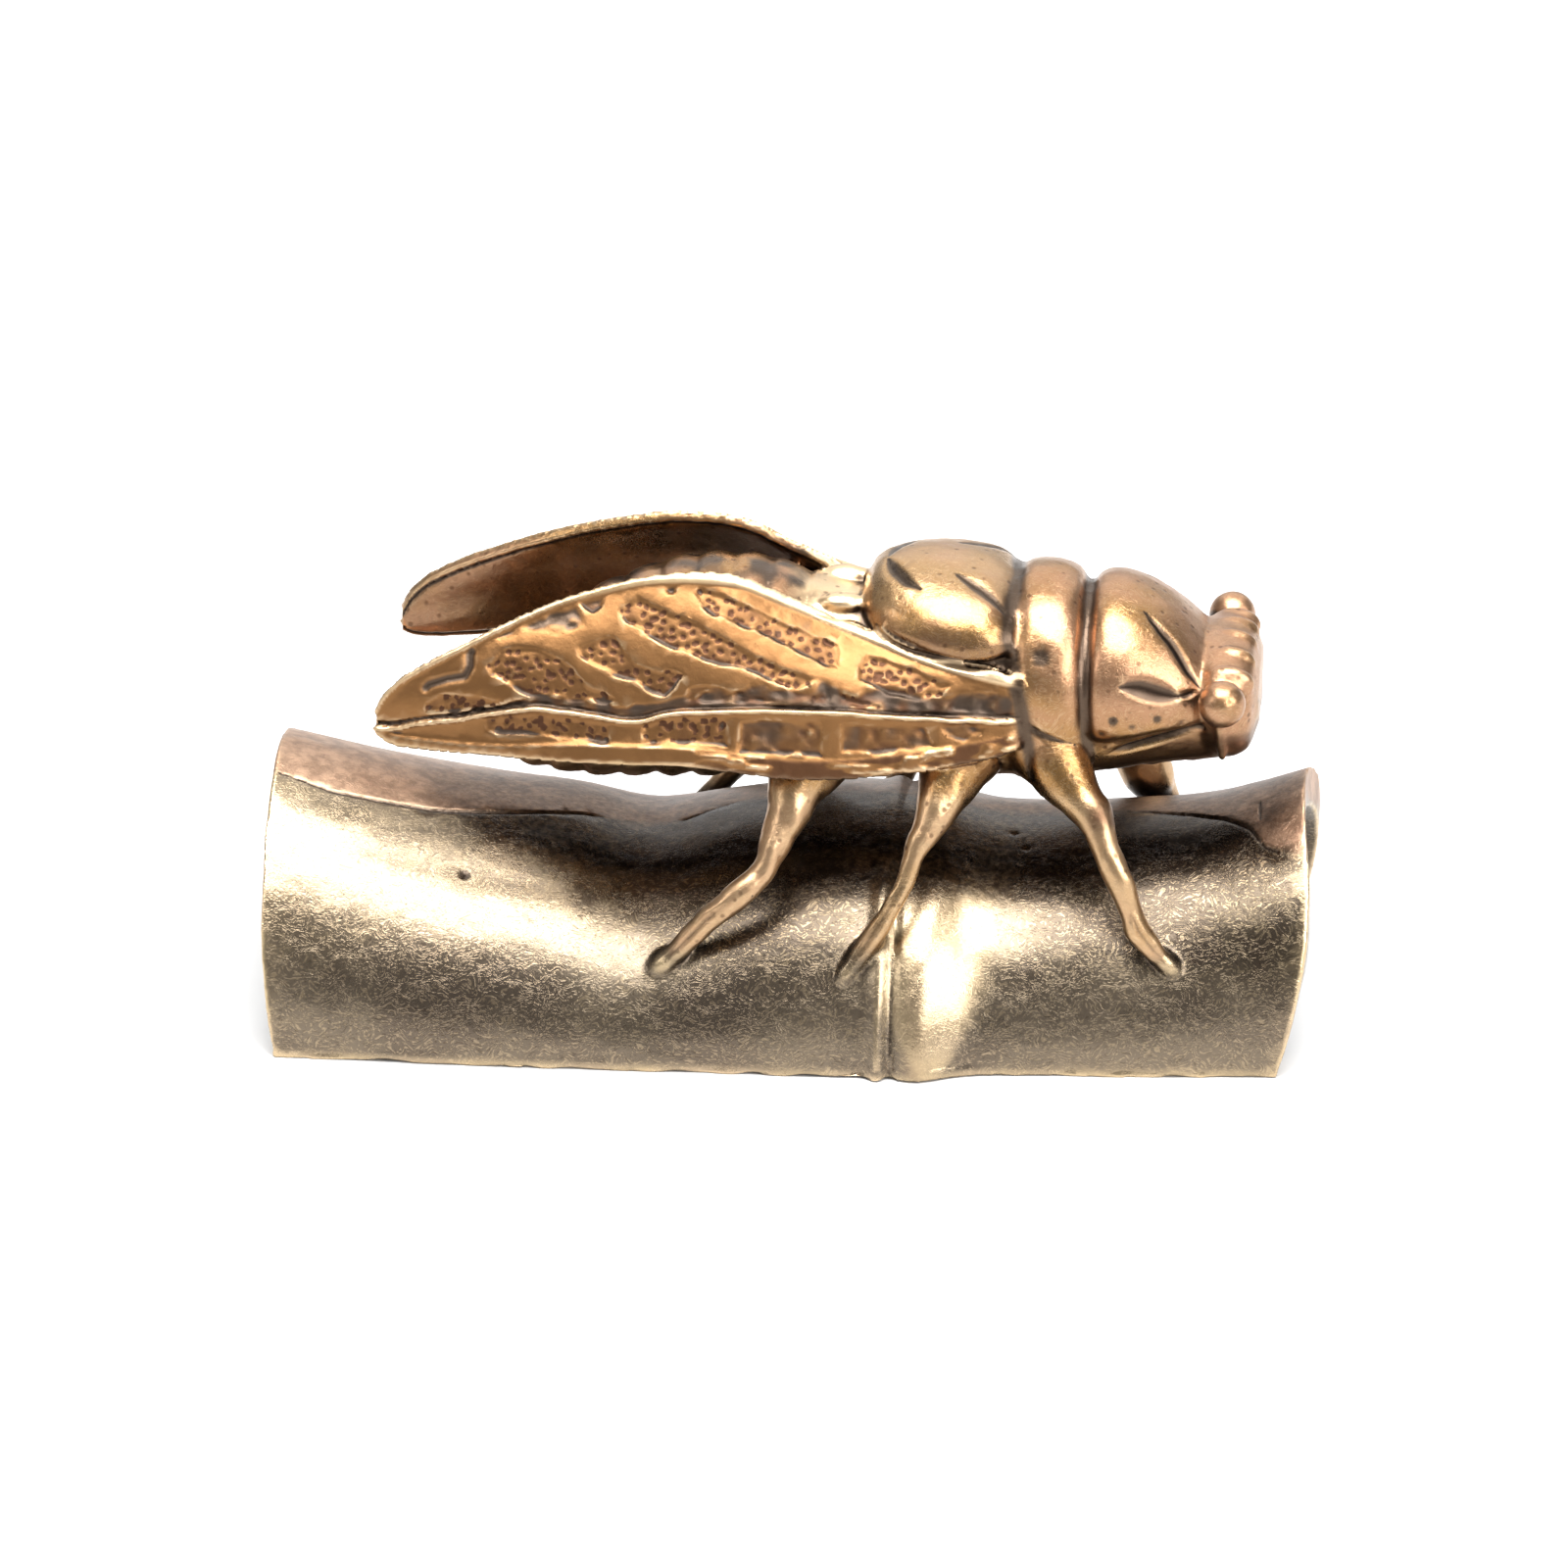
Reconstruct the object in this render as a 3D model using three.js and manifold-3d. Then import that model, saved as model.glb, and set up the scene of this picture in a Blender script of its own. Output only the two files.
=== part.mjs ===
// Brass cicada figurine: a cicada standing on a length of split bamboo, all cast in one piece.
// Millimetres, +Z up, +X towards the head. The origin is under the middle, on the ground.

import * as THREE from "three";
import { mergeVertices } from "three/addons/utils/BufferGeometryUtils.js";
import Module from "manifold-3d";

const wasm = await Module();
wasm.setup();

// The cicada's own sides along Y.
const LEFT = 1;
const RIGHT = -1;

// Bamboo half tube. Knots are [place along X, size].
const BASE_HALF_LENGTH = 23.1;
const BASE_WALL = 1.8;
const BASE_HALF_WIDTH = [[-23.1, 9.75], [-12, 10], [-4, 9.85], [3.2, 9.9], [8.7, 9.25], [15, 8.8],
  [23.1, 8.4]];
const BASE_CREST = [[-23.1, 10.55], [-18.4, 9.45], [-14, 8.6], [-9.7, 8], [-6.6, 7.4], [-3.4, 8],
  [0, 8.6], [3.5, 8.75], [6.6, 8.35], [10.1, 8.05], [16, 8.6], [18.7, 9.1], [23.1, 10.55]];
const BASE_END_STEPS = 10;
const BASE_NODE_STEPS = 11;
const BASE_ARC_SIDES = 16;
const BASE_BORE_SIDES = 12;
const BASE_BORE_STEPS = 10;
const BORE_DEPTH_BELOW = 1;
const BORE_OVERRUN = 3;

// The growth node of the bamboo: raised rings and the groove between them. They fade to a share of their
// height towards the crest.
const NODE_START = 3.2;
const NODE_END = 8.8;
const NODE_AT_CREST = 0.25;
const NODE_RINGS = [
  { place: 4.15, height: 0.34, spread: 0.4 },
  { place: 4.75, height: -0.22, spread: 0.18 },
  { place: 6, height: 0.62, spread: 1.4 },
];

// How far the end edges are drawn in: at the crest, at the ground, and at each end.
const END_TAPER_START = 14;
const TAIL_END_DRAW = { crest: 0.15, ground: 0.8 };
const HEAD_END_DRAW = { crest: 0.75, ground: 1.5 };

// Body sections. Knots are [place along X, half width, middle height, top, underside].
const ABDOMEN = [[-13.9, 0.5, 13.2, 13.9, 12.4], [-13.3, 1.8, 13.3, 15.2, 11.2],
  [-12, 2.9, 13.6, 16.4, 10.5], [-9.5, 3.9, 14.2, 18.1, 10.2], [-7.4, 4.4, 14.7, 19.2, 10.2],
  [-4.5, 4.7, 15, 20.15, 10.4], [-1.6, 4.7, 15.1, 20.15, 10.6], [0.3, 4.7, 15.1, 19.5, 10.8],
  [2, 4.6, 15.1, 19.1, 11], [5, 4.5, 15.2, 18.6, 11]];
const ABDOMEN_RINGS = [-12.2, -10.7, -9.2, -7.6, -6, -4.4, -2.8, -1.2];
const ABDOMEN_RING_DEPTH = 0.26;
const ABDOMEN_RING_EASE = 0.22;
const THORAX = [[2, 3.6, 15.2, 18.6, 11.2], [4, 4.4, 15.2, 18.9, 11], [8, 4.7, 15.3, 19.2, 11],
  [12.5, 4.4, 15.4, 19.2, 11.1], [16, 3.6, 15.2, 18, 11.6], [19.4, 3, 15, 16.6, 12]];
const COLLAR = [[9.2, 4.2, 15.4, 19.1, 11.6], [9.6, 4.8, 15.4, 19.9, 11.1], [10.4, 5.1, 15.4, 20.3, 10.9],
  [11.6, 5.1, 15.4, 20.25, 10.9], [12.4, 4.85, 15.4, 19.8, 11.2], [12.9, 4.3, 15.4, 19, 11.6]];
const PRONOTUM = [[12.6, 4.2, 15.8, 19, 13.8], [13.2, 4.8, 15.7, 19.7, 13.5], [14.4, 4.95, 15.7, 19.85, 13.6],
  [16.2, 4.6, 15.7, 19, 14], [17.6, 3.9, 15.6, 17.8, 14.3], [18.3, 3.1, 15.5, 17, 14.6]];
const HEAD = [[17.4, 2.6, 15.6, 17, 12.6], [18, 3.7, 16.1, 17.5, 12.2], [19, 4.2, 16.1, 17.5, 12.1],
  [19.9, 3.6, 15.7, 17.1, 12.6], [20.3, 2.4, 15.4, 16.4, 13.8]];
const THORAX_STEPS = 8;
const SHIELD_STEPS = 9;
const COLLAR_STEPS = 8;
const PRONOTUM_STEPS = 9;
const HEAD_STEPS = 5;
const BELLY_SQUARENESS = 0.7;
const NECK_PLATE_SQUARENESS = 0.4;
const BODY_SIDES = 14;
const EGG_SIDES = 8;
const EGG_RINGS = 4;

// The loaf-shaped shield on the back, and the two small lobes behind it.
const SHIELD = [[2.9, 1.6, 18.9, 19.3, 18.5], [3.4, 2.8, 18.7, 20.2, 17.9], [4.6, 3.9, 18.3, 20.75, 17.4],
  [6.4, 4.6, 18.2, 20.85, 17.2], [8.4, 4.7, 18.2, 20.5, 17.3], [9.7, 4.2, 18.2, 19.8, 17.6]];
const LOBE_PLACE = [2, 1.5, 19];
const LOBE_RADII = [1.05, 0.6, 0.45];

// Eyes and the ridges of the brow between them.
const EYE_PLACE = [18.8, 4.75, 16.2];
const EYE_RADIUS = 1.05;
const EYE_SIDES = 10;
const EYE_RINGS = 7;
const BROW_RIDGES = [0, 1.6, 3.1];
const BROW_RIDGE_RADII = [1.15, 0.55, 0.8];
const BROW_RIDGE_PLACE = [19, 16.85];
const BROW_FALL = 0.04;
const CHEEK_TOP = [18.6, 4.1, 15.6];
const CHEEK_END = [18.8, 3.3, 12.9];
const CHEEK_RADIUS = 0.3;
const CHEEK_SIDES = 6;

// Cuts in the shield and the neck plate: lens-shaped slits given by their two ends.
const SLITS = [
  { from: [3.9, 0.7, 20.5], to: [5, 2.3, 20.2], half: 0.2, depth: 0.45 },
  { from: [6.9, 1.8, 20.7], to: [9.2, 3.3, 19.7], half: 0.24, depth: 0.5 },
  { from: [15.2, 2.2, 19.2], to: [17.9, 3.9, 16.4], half: 0.2, depth: 0.5 },
  { from: [14.3, 4.8, 17.3], to: [17.3, 4.4, 16], half: 0.42, depth: 0.55 },
];

// Wings. Knots are [place along X, distance from the middle, height]: upper edge, fold and lower edge.
const WING_ROOT = 10.2;
const WING_TIP = -18;
const WING_TOP = [[10.2, 4.9, 17.2], [6.1, 4, 17.75], [2.7, 2.95, 18.55], [-0.3, 2.8, 19.8],
  [-2.6, 3, 20.8], [-5.4, 3.35, 20.9], [-8, 3.65, 20.4], [-10.6, 4.1, 19.6], [-14.3, 5.05, 17.95],
  [-16.6, 5.4, 16.7], [-17.5, 5.5, 15.9], [-18, 5.55, 15.05]];
const WING_FOLD = [[10.2, 5.2, 15.3], [7.5, 5.6, 15.5], [1.2, 6.4, 16], [-4.3, 6.7, 15.95],
  [-6.9, 6.8, 15.5], [-9.9, 6.6, 15.8], [-11.2, 6.6, 15.85], [-14.2, 6.2, 15.1], [-17.2, 5.75, 14.35],
  [-18, 5.6, 14.25]];
const WING_LOW = [[10.2, 5.3, 14], [8.8, 5.8, 13.7], [5.1, 6.6, 13.25], [2.5, 7, 13.05], [0, 7.3, 13.1],
  [-4.2, 7.6, 13.65], [-8.5, 7.4, 13.6], [-13.7, 6.6, 13.5], [-16.6, 6, 13.45], [-17.5, 5.85, 13.6],
  [-18, 5.7, 13.95]];
const WING_THICK = [[-18, 0.6], [-14, 0.85], [0, 1], [3, 1.4], [6, 2], [10.2, 2.4]];
const WING_STEPS = 19;
const WING_STEP_CROWDING = 0.9;
const WING_SWELL = 0.35;
const SWELL_WIDTH = 5;
const RELIEF_WIDTH = 4;
const FOLD_LEDGE = 0.22;
const FOLD_GROOVE = 0.28;
const RIM_HEIGHT = 0.16;
// The outer face of a wing from the lower edge (-1) over the fold (0) to the upper edge (1), as [place,
// relief]: raised rims, a ledge below the fold and a groove above it. The swell and the relief reach their
// full height where the wing is SWELL_WIDTH and RELIEF_WIDTH wide.
const WING_ACROSS = [[-1, RIM_HEIGHT], [-0.84, RIM_HEIGHT], [-0.5, 0], [-0.06, FOLD_LEDGE],
  [0.06, -FOLD_GROOVE], [0.3, 0], [0.6, 0], [0.88, 0], [0.95, RIM_HEIGHT], [1, RIM_HEIGHT]];
// The inner face, as [place, share of the wing's thickness].
const WING_INSIDE = [[0.98, 0.4], [0.6, 0.9], [0, 1], [-0.6, 0.9], [-0.96, 0.5]];

// Veins of a wing: [place along X, place across], thick where they leave the rim and the root.
const VEIN_RADIUS = 0.3;
const VEIN_SIDES = 4;
const VEIN_STEPS = 4;
const VEIN_RISE = 0.05;
const VEINS = [
  [[-11.2, 0.86], [-9.3, 0.42], [-7.3, 0.24], [-4.9, 0.1]],
  [[-8.9, 0.86], [-7.4, 0.62], [-4.4, 0.3], [-1.4, 0.18], [1.2, 0.08]],
  [[-6.6, 0.9], [-4, 0.67], [-0.6, 0.52], [2.9, 0.33], [6.6, 0.12]],
  [[-13.2, 0.88], [-13.7, 0.5], [-12.6, 0.22], [-10.6, 0.04]],
  [[2.3, 0.86], [2.6, 0.35]],
  [[5.4, 0.2], [7.6, 0.5], [9.4, 0.8]],
  [[-6.8, -0.1], [-6.7, -0.9]],
  [[2, -0.1], [2, -0.9]],
  [[6.4, -0.08], [7.6, -0.62], [9.4, -0.2]],
];

// Legs: [x, distance from the middle, height, radius] from the hip to the foot. The left front leg is thicker.
const LEG_SIDES = 6;
const LEG_STEPS = 8;
const REAR_LEG = [[1.2, 4, 12.9, 1.7], [0.4, 5.1, 11.9, 1.35], [0.1, 6, 11, 1], [-0.5, 6.9, 9.75, 0.68],
  [-1, 7.5, 8.7, 0.52], [-2.1, 8, 7.7, 0.62], [-3.4, 8.05, 6.5, 0.53], [-4.6, 8.05, 5.1, 0.48],
  [-5.3, 7.95, 4.4, 0.4]];
const MIDDLE_LEG = [[7.6, 3.8, 13.2, 1.8], [7, 4.9, 12.3, 1.4], [6.4, 6.3, 11, 0.85], [5.7, 7.1, 9.9, 0.5],
  [5.3, 7.6, 8.7, 0.42], [4.6, 8, 7.3, 0.42], [3.7, 8.1, 5.75, 0.56], [2.8, 8.35, 4.4, 0.46]];
const FRONT_LEG = [[11.4, 3.6, 13.2, 1.9], [11.9, 4.5, 12.6, 1.45], [12.6, 5.3, 11.9, 1.05],
  [13.4, 6.1, 11.2, 0.85], [13.9, 6.8, 10.1, 0.62], [14.6, 7.25, 8.7, 0.64], [15.1, 7.4, 7.3, 0.54],
  [15.4, 7.5, 6.5, 0.58], [16.1, 7.4, 5.5, 0.5], [16.7, 7.25, 4.85, 0.42]];
const THICK_FRONT_LEG = [[11.4, 3.6, 13.2, 1.9], [11.9, 4.5, 12.6, 1.45], [12.6, 5.3, 11.9, 1.05],
  [13.4, 6.1, 11.2, 0.9], [13.9, 6.6, 10.1, 0.95], [14.5, 6.9, 8.7, 1.15], [15.1, 7.1, 7.2, 1.15],
  [15.5, 7.4, 6.4, 0.9], [16.1, 7.4, 5.5, 0.6], [16.7, 7.25, 4.85, 0.42]];
const LEGS = {
  [LEFT]: [REAR_LEG, MIDDLE_LEG, THICK_FRONT_LEG],
  [RIGHT]: [REAR_LEG, MIDDLE_LEG, FRONT_LEG],
};
const FOOT_RADII = [1, 0.6, 0.5];

// Points closer than this are one point.
const WELD = 1e-4;

// A smooth line through knots [x, a, b, ...]: gives [a, b, ...] at any x.
function through(knots) {
  const row = [...knots].sort((p, q) => p[0] - q[0]);
  const last = row.length - 1;
  const slope = row.map((_, i) => {
    const before = row[Math.max(i - 1, 0)];
    const after = row[Math.min(i + 1, last)];
    return before.map((value, k) => (after[k] - value) / (after[0] - before[0]));
  });
  return (place) => {
    const x = Math.min(Math.max(place, row[0][0]), row[last][0]);
    let i = 0;
    while (i < last - 1 && row[i + 1][0] < x) i += 1;
    const span = row[i + 1][0] - row[i][0];
    const t = (x - row[i][0]) / span;
    const ease = t * t * (3 - 2 * t);
    return row[i].slice(1).map((value, k) => {
      const leave = (t ** 3 - 2 * t * t + t) * span * slope[i][k + 1];
      const arrive = (t ** 3 - t * t) * span * slope[i + 1][k + 1];
      return value + (row[i + 1][k + 1] - value) * ease + leave + arrive;
    });
  };
}

// Even places from one end to the other.
function places(from, to, steps) {
  return Array.from({ length: steps + 1 }, (_, i) => from + ((to - from) * i) / steps);
}

// A closed skin over rings of points, with a fan over each end.
// The rings follow each other and each turns to the right, seen along the way they follow.
function skin(rings) {
  const around = rings[0].length;
  const points = rings.flat();
  const middles = [rings[0], rings[rings.length - 1]].map((ring) =>
    ring.reduce((sum, point) => sum.add(point), new THREE.Vector3()).divideScalar(around));
  const firstMiddle = points.length;
  const lastMiddle = firstMiddle + 1;
  const lastRing = (rings.length - 1) * around;
  const faces = [];
  for (let j = 0; j < around; j += 1) {
    const next = (j + 1) % around;
    for (let i = 0; i < lastRing; i += around) {
      faces.push(i + j, i + next, i + around + next, i + j, i + around + next, i + around + j);
    }
    faces.push(firstMiddle, next, j, lastMiddle, lastRing + j, lastRing + next);
  }
  const geometry = new THREE.BufferGeometry().setFromPoints([...points, ...middles]);
  geometry.setIndex(faces);
  return geometry;
}

// A three.js geometry as a solid that can be joined and cut.
function solid(source) {
  const geometry = source.clone();
  geometry.deleteAttribute("normal");
  geometry.deleteAttribute("uv");
  const merged = mergeVertices(geometry, WELD);
  const vertProperties = new Float32Array(merged.attributes.position.array);
  const triVerts = new Uint32Array(merged.index.array);
  return new wasm.Manifold(new wasm.Mesh({ numProp: 3, vertProperties, triVerts }));
}

// An egg-shaped solid with its radii along X, Y and Z.
function egg(place, radii, turn = new THREE.Quaternion()) {
  const geometry = new THREE.SphereGeometry(1, EGG_SIDES, EGG_RINGS);
  geometry.scale(...radii);
  geometry.applyQuaternion(turn);
  geometry.translate(...place);
  return solid(geometry);
}

// A cross-section of the body, round above and squarer below.
function bodyRing(x, [halfWidth, middle, top, underside], squareness = BELLY_SQUARENESS) {
  return places(0, 2 * Math.PI, BODY_SIDES).slice(0, -1).map((angle) => {
    const rise = Math.sin(angle);
    const height = rise > 0 ? (top - middle) * rise : -(middle - underside) * (-rise) ** squareness;
    return new THREE.Vector3(x, halfWidth * Math.cos(angle), middle + height);
  });
}

function bodyPart(knots, steps, squareness) {
  const sizes = through(knots);
  const stations = places(knots[0][0], knots[knots.length - 1][0], steps);
  return solid(skin(stations.map((x) => bodyRing(x, sizes(x), squareness))));
}

// The abdomen narrows at each ring and swells between the rings.
function abdomen() {
  const sizes = through(ABDOMEN);
  const ends = [ABDOMEN[0][0], ABDOMEN[ABDOMEN.length - 1][0]];
  const around = ABDOMEN_RINGS.flatMap((x) => [x - ABDOMEN_RING_EASE, x, x + 2 * ABDOMEN_RING_EASE]);
  const stations = [ends[0], ...around, ABDOMEN[ABDOMEN.length - 2][0], ends[1]];
  return solid(skin(stations.map((x) => {
    const [halfWidth, middle, top, underside] = sizes(x);
    const cut = ABDOMEN_RINGS.includes(x) ? ABDOMEN_RING_DEPTH : 0;
    return bodyRing(x, [halfWidth - cut, middle, top - cut, underside + cut]);
  })));
}

const baseHalfWidth = through(BASE_HALF_WIDTH);
const baseCrest = through(BASE_CREST);

function nodeRise(x) {
  const riseOf = ({ place, height, spread }) => height * Math.exp(-(((x - place) / spread) ** 2));
  return NODE_RINGS.reduce((sum, ring) => sum + riseOf(ring), 0);
}

// A half-oval across the bamboo from the right edge over the crest to the left edge, set in by a depth that
// may change along it.
function arch(x, inset, sides, place) {
  const halfWidth = baseHalfWidth(x)[0];
  const crest = baseCrest(x)[0];
  return places(0, Math.PI, sides).map((angle) => {
    const depth = inset(angle);
    const y = (halfWidth - depth) * Math.cos(angle);
    const z = (crest - depth) * Math.sin(angle);
    return new THREE.Vector3(place(x, angle), y, z);
  });
}

function nodeInset(x, angle) {
  return -nodeRise(x) * (1 - (1 - NODE_AT_CREST) * Math.sin(angle) ** 3);
}

// The end edges are drawn in at the crest and at the ground, and bulge between them.
function drawnPlace(x, angle) {
  const draw = x < 0 ? TAIL_END_DRAW : HEAD_END_DRAW;
  const reach = Math.max(Math.abs(x) - END_TAPER_START, 0) / (BASE_HALF_LENGTH - END_TAPER_START);
  const height = Math.sin(angle);
  return x - Math.sign(x) * reach * reach * (draw.crest * height ** 4 + draw.ground * (1 - height) ** 2);
}

function bamboo() {
  const stations = [
    ...places(-BASE_HALF_LENGTH, NODE_START, BASE_END_STEPS),
    ...places(NODE_START, NODE_END, BASE_NODE_STEPS).slice(1),
    ...places(NODE_END, BASE_HALF_LENGTH, BASE_END_STEPS / 2).slice(1),
  ];
  const outside = skin(stations.map((x) =>
    arch(x, (angle) => nodeInset(x, angle), BASE_ARC_SIDES, drawnPlace)));
  const reach = BASE_HALF_LENGTH + BORE_OVERRUN;
  const bore = skin(places(-reach, reach, BASE_BORE_STEPS).map((x) => {
    const ring = arch(x, () => BASE_WALL, BASE_BORE_SIDES, (place) => place);
    const below = [ring[ring.length - 1], ring[0]].map((point) => point.clone().setZ(-BORE_DEPTH_BELOW));
    return [...ring, ...below];
  }));
  return solid(outside).subtract(solid(bore));
}

const wingTop = through(WING_TOP);
const wingFold = through(WING_FOLD);
const wingLow = through(WING_LOW);
const wingThick = through(WING_THICK);

// A point of a wing's outer face, raised by a height along the face's own outward direction.
function wingPoint(side, x, across, rise = 0) {
  const [foldY, foldZ] = wingFold(x);
  const [edgeY, edgeZ] = across < 0 ? wingLow(x) : wingTop(x);
  const share = Math.abs(across);
  const alongY = (edgeY - foldY) * Math.sign(across || 1);
  const alongZ = (edgeZ - foldZ) * Math.sign(across || 1);
  const length = Math.hypot(alongY, alongZ) || 1;
  const full = Math.min(length / SWELL_WIDTH, 1);
  const swell = across > 0 ? WING_SWELL * Math.sin(Math.PI * share) * full : 0;
  const out = rise + swell;
  const y = foldY + (edgeY - foldY) * share + (alongZ / length) * out;
  const z = foldZ + (edgeZ - foldZ) * share - (alongY / length) * out;
  return new THREE.Vector3(x, side * y, z);
}

function wing(side) {
  const stations = places(0, 1, WING_STEPS).map((t) => {
    const reach = Math.sin((t * Math.PI) / 2) ** WING_STEP_CROWDING;
    return WING_ROOT + (WING_TIP - WING_ROOT) * reach;
  });
  const rings = stations.map((x) => {
    const height = wingTop(x)[1] - wingLow(x)[1];
    const thick = wingThick(x)[0];
    const full = Math.min(height / RELIEF_WIDTH, 1);
    const outer = WING_ACROSS.map(([across, relief]) => wingPoint(side, x, across, full * relief));
    const inner = WING_INSIDE.map(([across, share]) => wingPoint(side, x, across, -thick * share));
    return [...outer, ...inner];
  });
  if (side === LEFT) rings.forEach((ring) => ring.reverse());
  return solid(skin(rings));
}

// A round bar along a curve, with a radius that changes along it.
function bar(points, radii, sides, steps) {
  const path = new THREE.CatmullRomCurve3(points, false, "centripetal");
  const frames = path.computeFrenetFrames(steps, false);
  const rings = places(0, 1, steps).map((t, i) => {
    const middle = path.getPointAt(t);
    const spread = radii(path.getUtoTmapping(t));
    return places(0, 2 * Math.PI, sides).slice(0, -1).map((angle) => middle.clone()
      .addScaledVector(frames.normals[i], spread * Math.cos(angle))
      .addScaledVector(frames.binormals[i], spread * Math.sin(angle)));
  });
  return solid(skin(rings));
}

function vein(side, knots) {
  const points = knots.map(([x, across]) => wingPoint(side, x, across, VEIN_RISE));
  return bar(points, () => VEIN_RADIUS, VEIN_SIDES, VEIN_STEPS);
}

function leg(side, knots) {
  const points = knots.map(([x, y, z]) => new THREE.Vector3(x, side * y, z));
  const radius = through(knots.map((knot, i) => [i / (knots.length - 1), knot[3]]));
  const limb = bar(points, (t) => radius(t)[0], LEG_SIDES, LEG_STEPS);
  const toe = points[points.length - 1];
  const heel = points[points.length - 2];
  const turn = new THREE.Quaternion().setFromUnitVectors(
    new THREE.Vector3(1, 0, 0),
    toe.clone().sub(heel).normalize(),
  );
  return limb.add(egg(toe.toArray(), FOOT_RADII, turn));
}

// A lens-shaped cut between two points on a curved surface.
function slit(side, { from, to, half, depth }) {
  const start = new THREE.Vector3(from[0], side * from[1], from[2]);
  const end = new THREE.Vector3(to[0], side * to[1], to[2]);
  const middle = start.clone().add(end).divideScalar(2);
  const along = end.clone().sub(start);
  const out = new THREE.Vector3(0, middle.y, middle.z - PRONOTUM[1][2]).normalize();
  const across = new THREE.Vector3().crossVectors(out, along).normalize();
  const frame = new THREE.Matrix4().makeBasis(along.clone().normalize(), across,
    new THREE.Vector3().crossVectors(along, across).normalize());
  const turn = new THREE.Quaternion().setFromRotationMatrix(frame);
  return egg(middle.toArray(), [along.length() / 2, half, depth], turn);
}

function head() {
  const [browX, browZ] = BROW_RIDGE_PLACE;
  let made = bodyPart(HEAD, HEAD_STEPS);
  for (const side of [LEFT, RIGHT]) {
    const eye = new THREE.SphereGeometry(EYE_RADIUS, EYE_SIDES, EYE_RINGS);
    eye.translate(EYE_PLACE[0], side * EYE_PLACE[1], EYE_PLACE[2]);
    made = made.add(solid(eye));
    const cheek = [CHEEK_TOP, CHEEK_END].map(([x, y, z]) => new THREE.Vector3(x, side * y, z));
    made = made.add(bar(cheek, () => CHEEK_RADIUS, CHEEK_SIDES, 2));
    for (const y of BROW_RIDGES.slice(side === LEFT ? 1 : 0)) {
      made = made.add(egg([browX, side * y, browZ - BROW_FALL * y * y], BROW_RIDGE_RADII));
    }
  }
  return made;
}

function insect() {
  let made = abdomen()
    .add(bodyPart(THORAX, THORAX_STEPS))
    .add(bodyPart(SHIELD, SHIELD_STEPS))
    .add(bodyPart(COLLAR, COLLAR_STEPS))
    .add(bodyPart(PRONOTUM, PRONOTUM_STEPS, NECK_PLATE_SQUARENESS))
    .add(head());
  for (const side of [LEFT, RIGHT]) {
    made = made.add(egg([LOBE_PLACE[0], side * LOBE_PLACE[1], LOBE_PLACE[2]], LOBE_RADII));
    for (const cut of SLITS) made = made.subtract(slit(side, cut));
    made = made.add(wing(side));
    for (const knots of VEINS) made = made.add(vein(side, knots));
    for (const knots of LEGS[side]) made = made.add(leg(side, knots));
  }
  return made;
}

function meshOf(made, name, finish) {
  const { numProp, vertProperties, triVerts } = made.getMesh();
  const geometry = new THREE.BufferGeometry();
  geometry.setAttribute("position", new THREE.BufferAttribute(new Float32Array(vertProperties), numProp));
  geometry.setIndex(new THREE.BufferAttribute(new Uint32Array(triVerts), 1));
  geometry.computeVertexNormals();
  const mesh = new THREE.Mesh(geometry, finish);
  mesh.name = name;
  return mesh;
}

const antiqueBrass = new THREE.MeshStandardMaterial({ color: 0xb08a52, roughness: 0.38, metalness: 1 });

const figurine = new THREE.Group();
figurine.add(meshOf(bamboo().add(insect()), "cicada_on_bamboo", antiqueBrass));

export default figurine;
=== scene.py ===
"""Brass cicada figurine: a cicada standing on a length of split bamboo, cast in one piece and left
with its dark patina in the hollows and polished on the high places.

The forms repeat the sizes of the CAD source, in millimetres, with round sections. They are fused into
one skin, the fine relief is pressed into that skin, and the skin is thinned and set in metres."""

import itertools
import math

import bpy
import numpy as np
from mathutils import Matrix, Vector
from mathutils.bvhtree import BVHTree


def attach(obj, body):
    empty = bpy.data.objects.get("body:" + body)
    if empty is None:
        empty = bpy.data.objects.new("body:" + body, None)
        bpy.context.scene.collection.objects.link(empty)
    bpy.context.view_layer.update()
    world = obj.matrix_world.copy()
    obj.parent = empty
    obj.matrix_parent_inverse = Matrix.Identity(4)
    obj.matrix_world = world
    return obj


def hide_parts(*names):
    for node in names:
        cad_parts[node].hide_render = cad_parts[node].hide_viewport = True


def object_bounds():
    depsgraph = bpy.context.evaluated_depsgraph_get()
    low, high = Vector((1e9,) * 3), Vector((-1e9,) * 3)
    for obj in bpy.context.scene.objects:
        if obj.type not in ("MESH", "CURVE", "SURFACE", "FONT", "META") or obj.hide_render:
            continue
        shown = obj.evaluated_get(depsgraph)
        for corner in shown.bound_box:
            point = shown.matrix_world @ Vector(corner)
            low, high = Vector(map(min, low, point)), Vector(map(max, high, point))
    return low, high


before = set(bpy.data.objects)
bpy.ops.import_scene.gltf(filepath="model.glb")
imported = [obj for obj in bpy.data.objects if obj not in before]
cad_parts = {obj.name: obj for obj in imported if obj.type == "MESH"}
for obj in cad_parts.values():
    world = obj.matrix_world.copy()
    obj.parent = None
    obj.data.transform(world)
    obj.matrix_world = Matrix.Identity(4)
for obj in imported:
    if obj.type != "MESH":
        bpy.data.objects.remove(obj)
cad_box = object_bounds()

MM = 0.001
# The cicada's own sides along Y.
LEFT, RIGHT = 1, -1

# Sizes, in millimetres.

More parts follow.
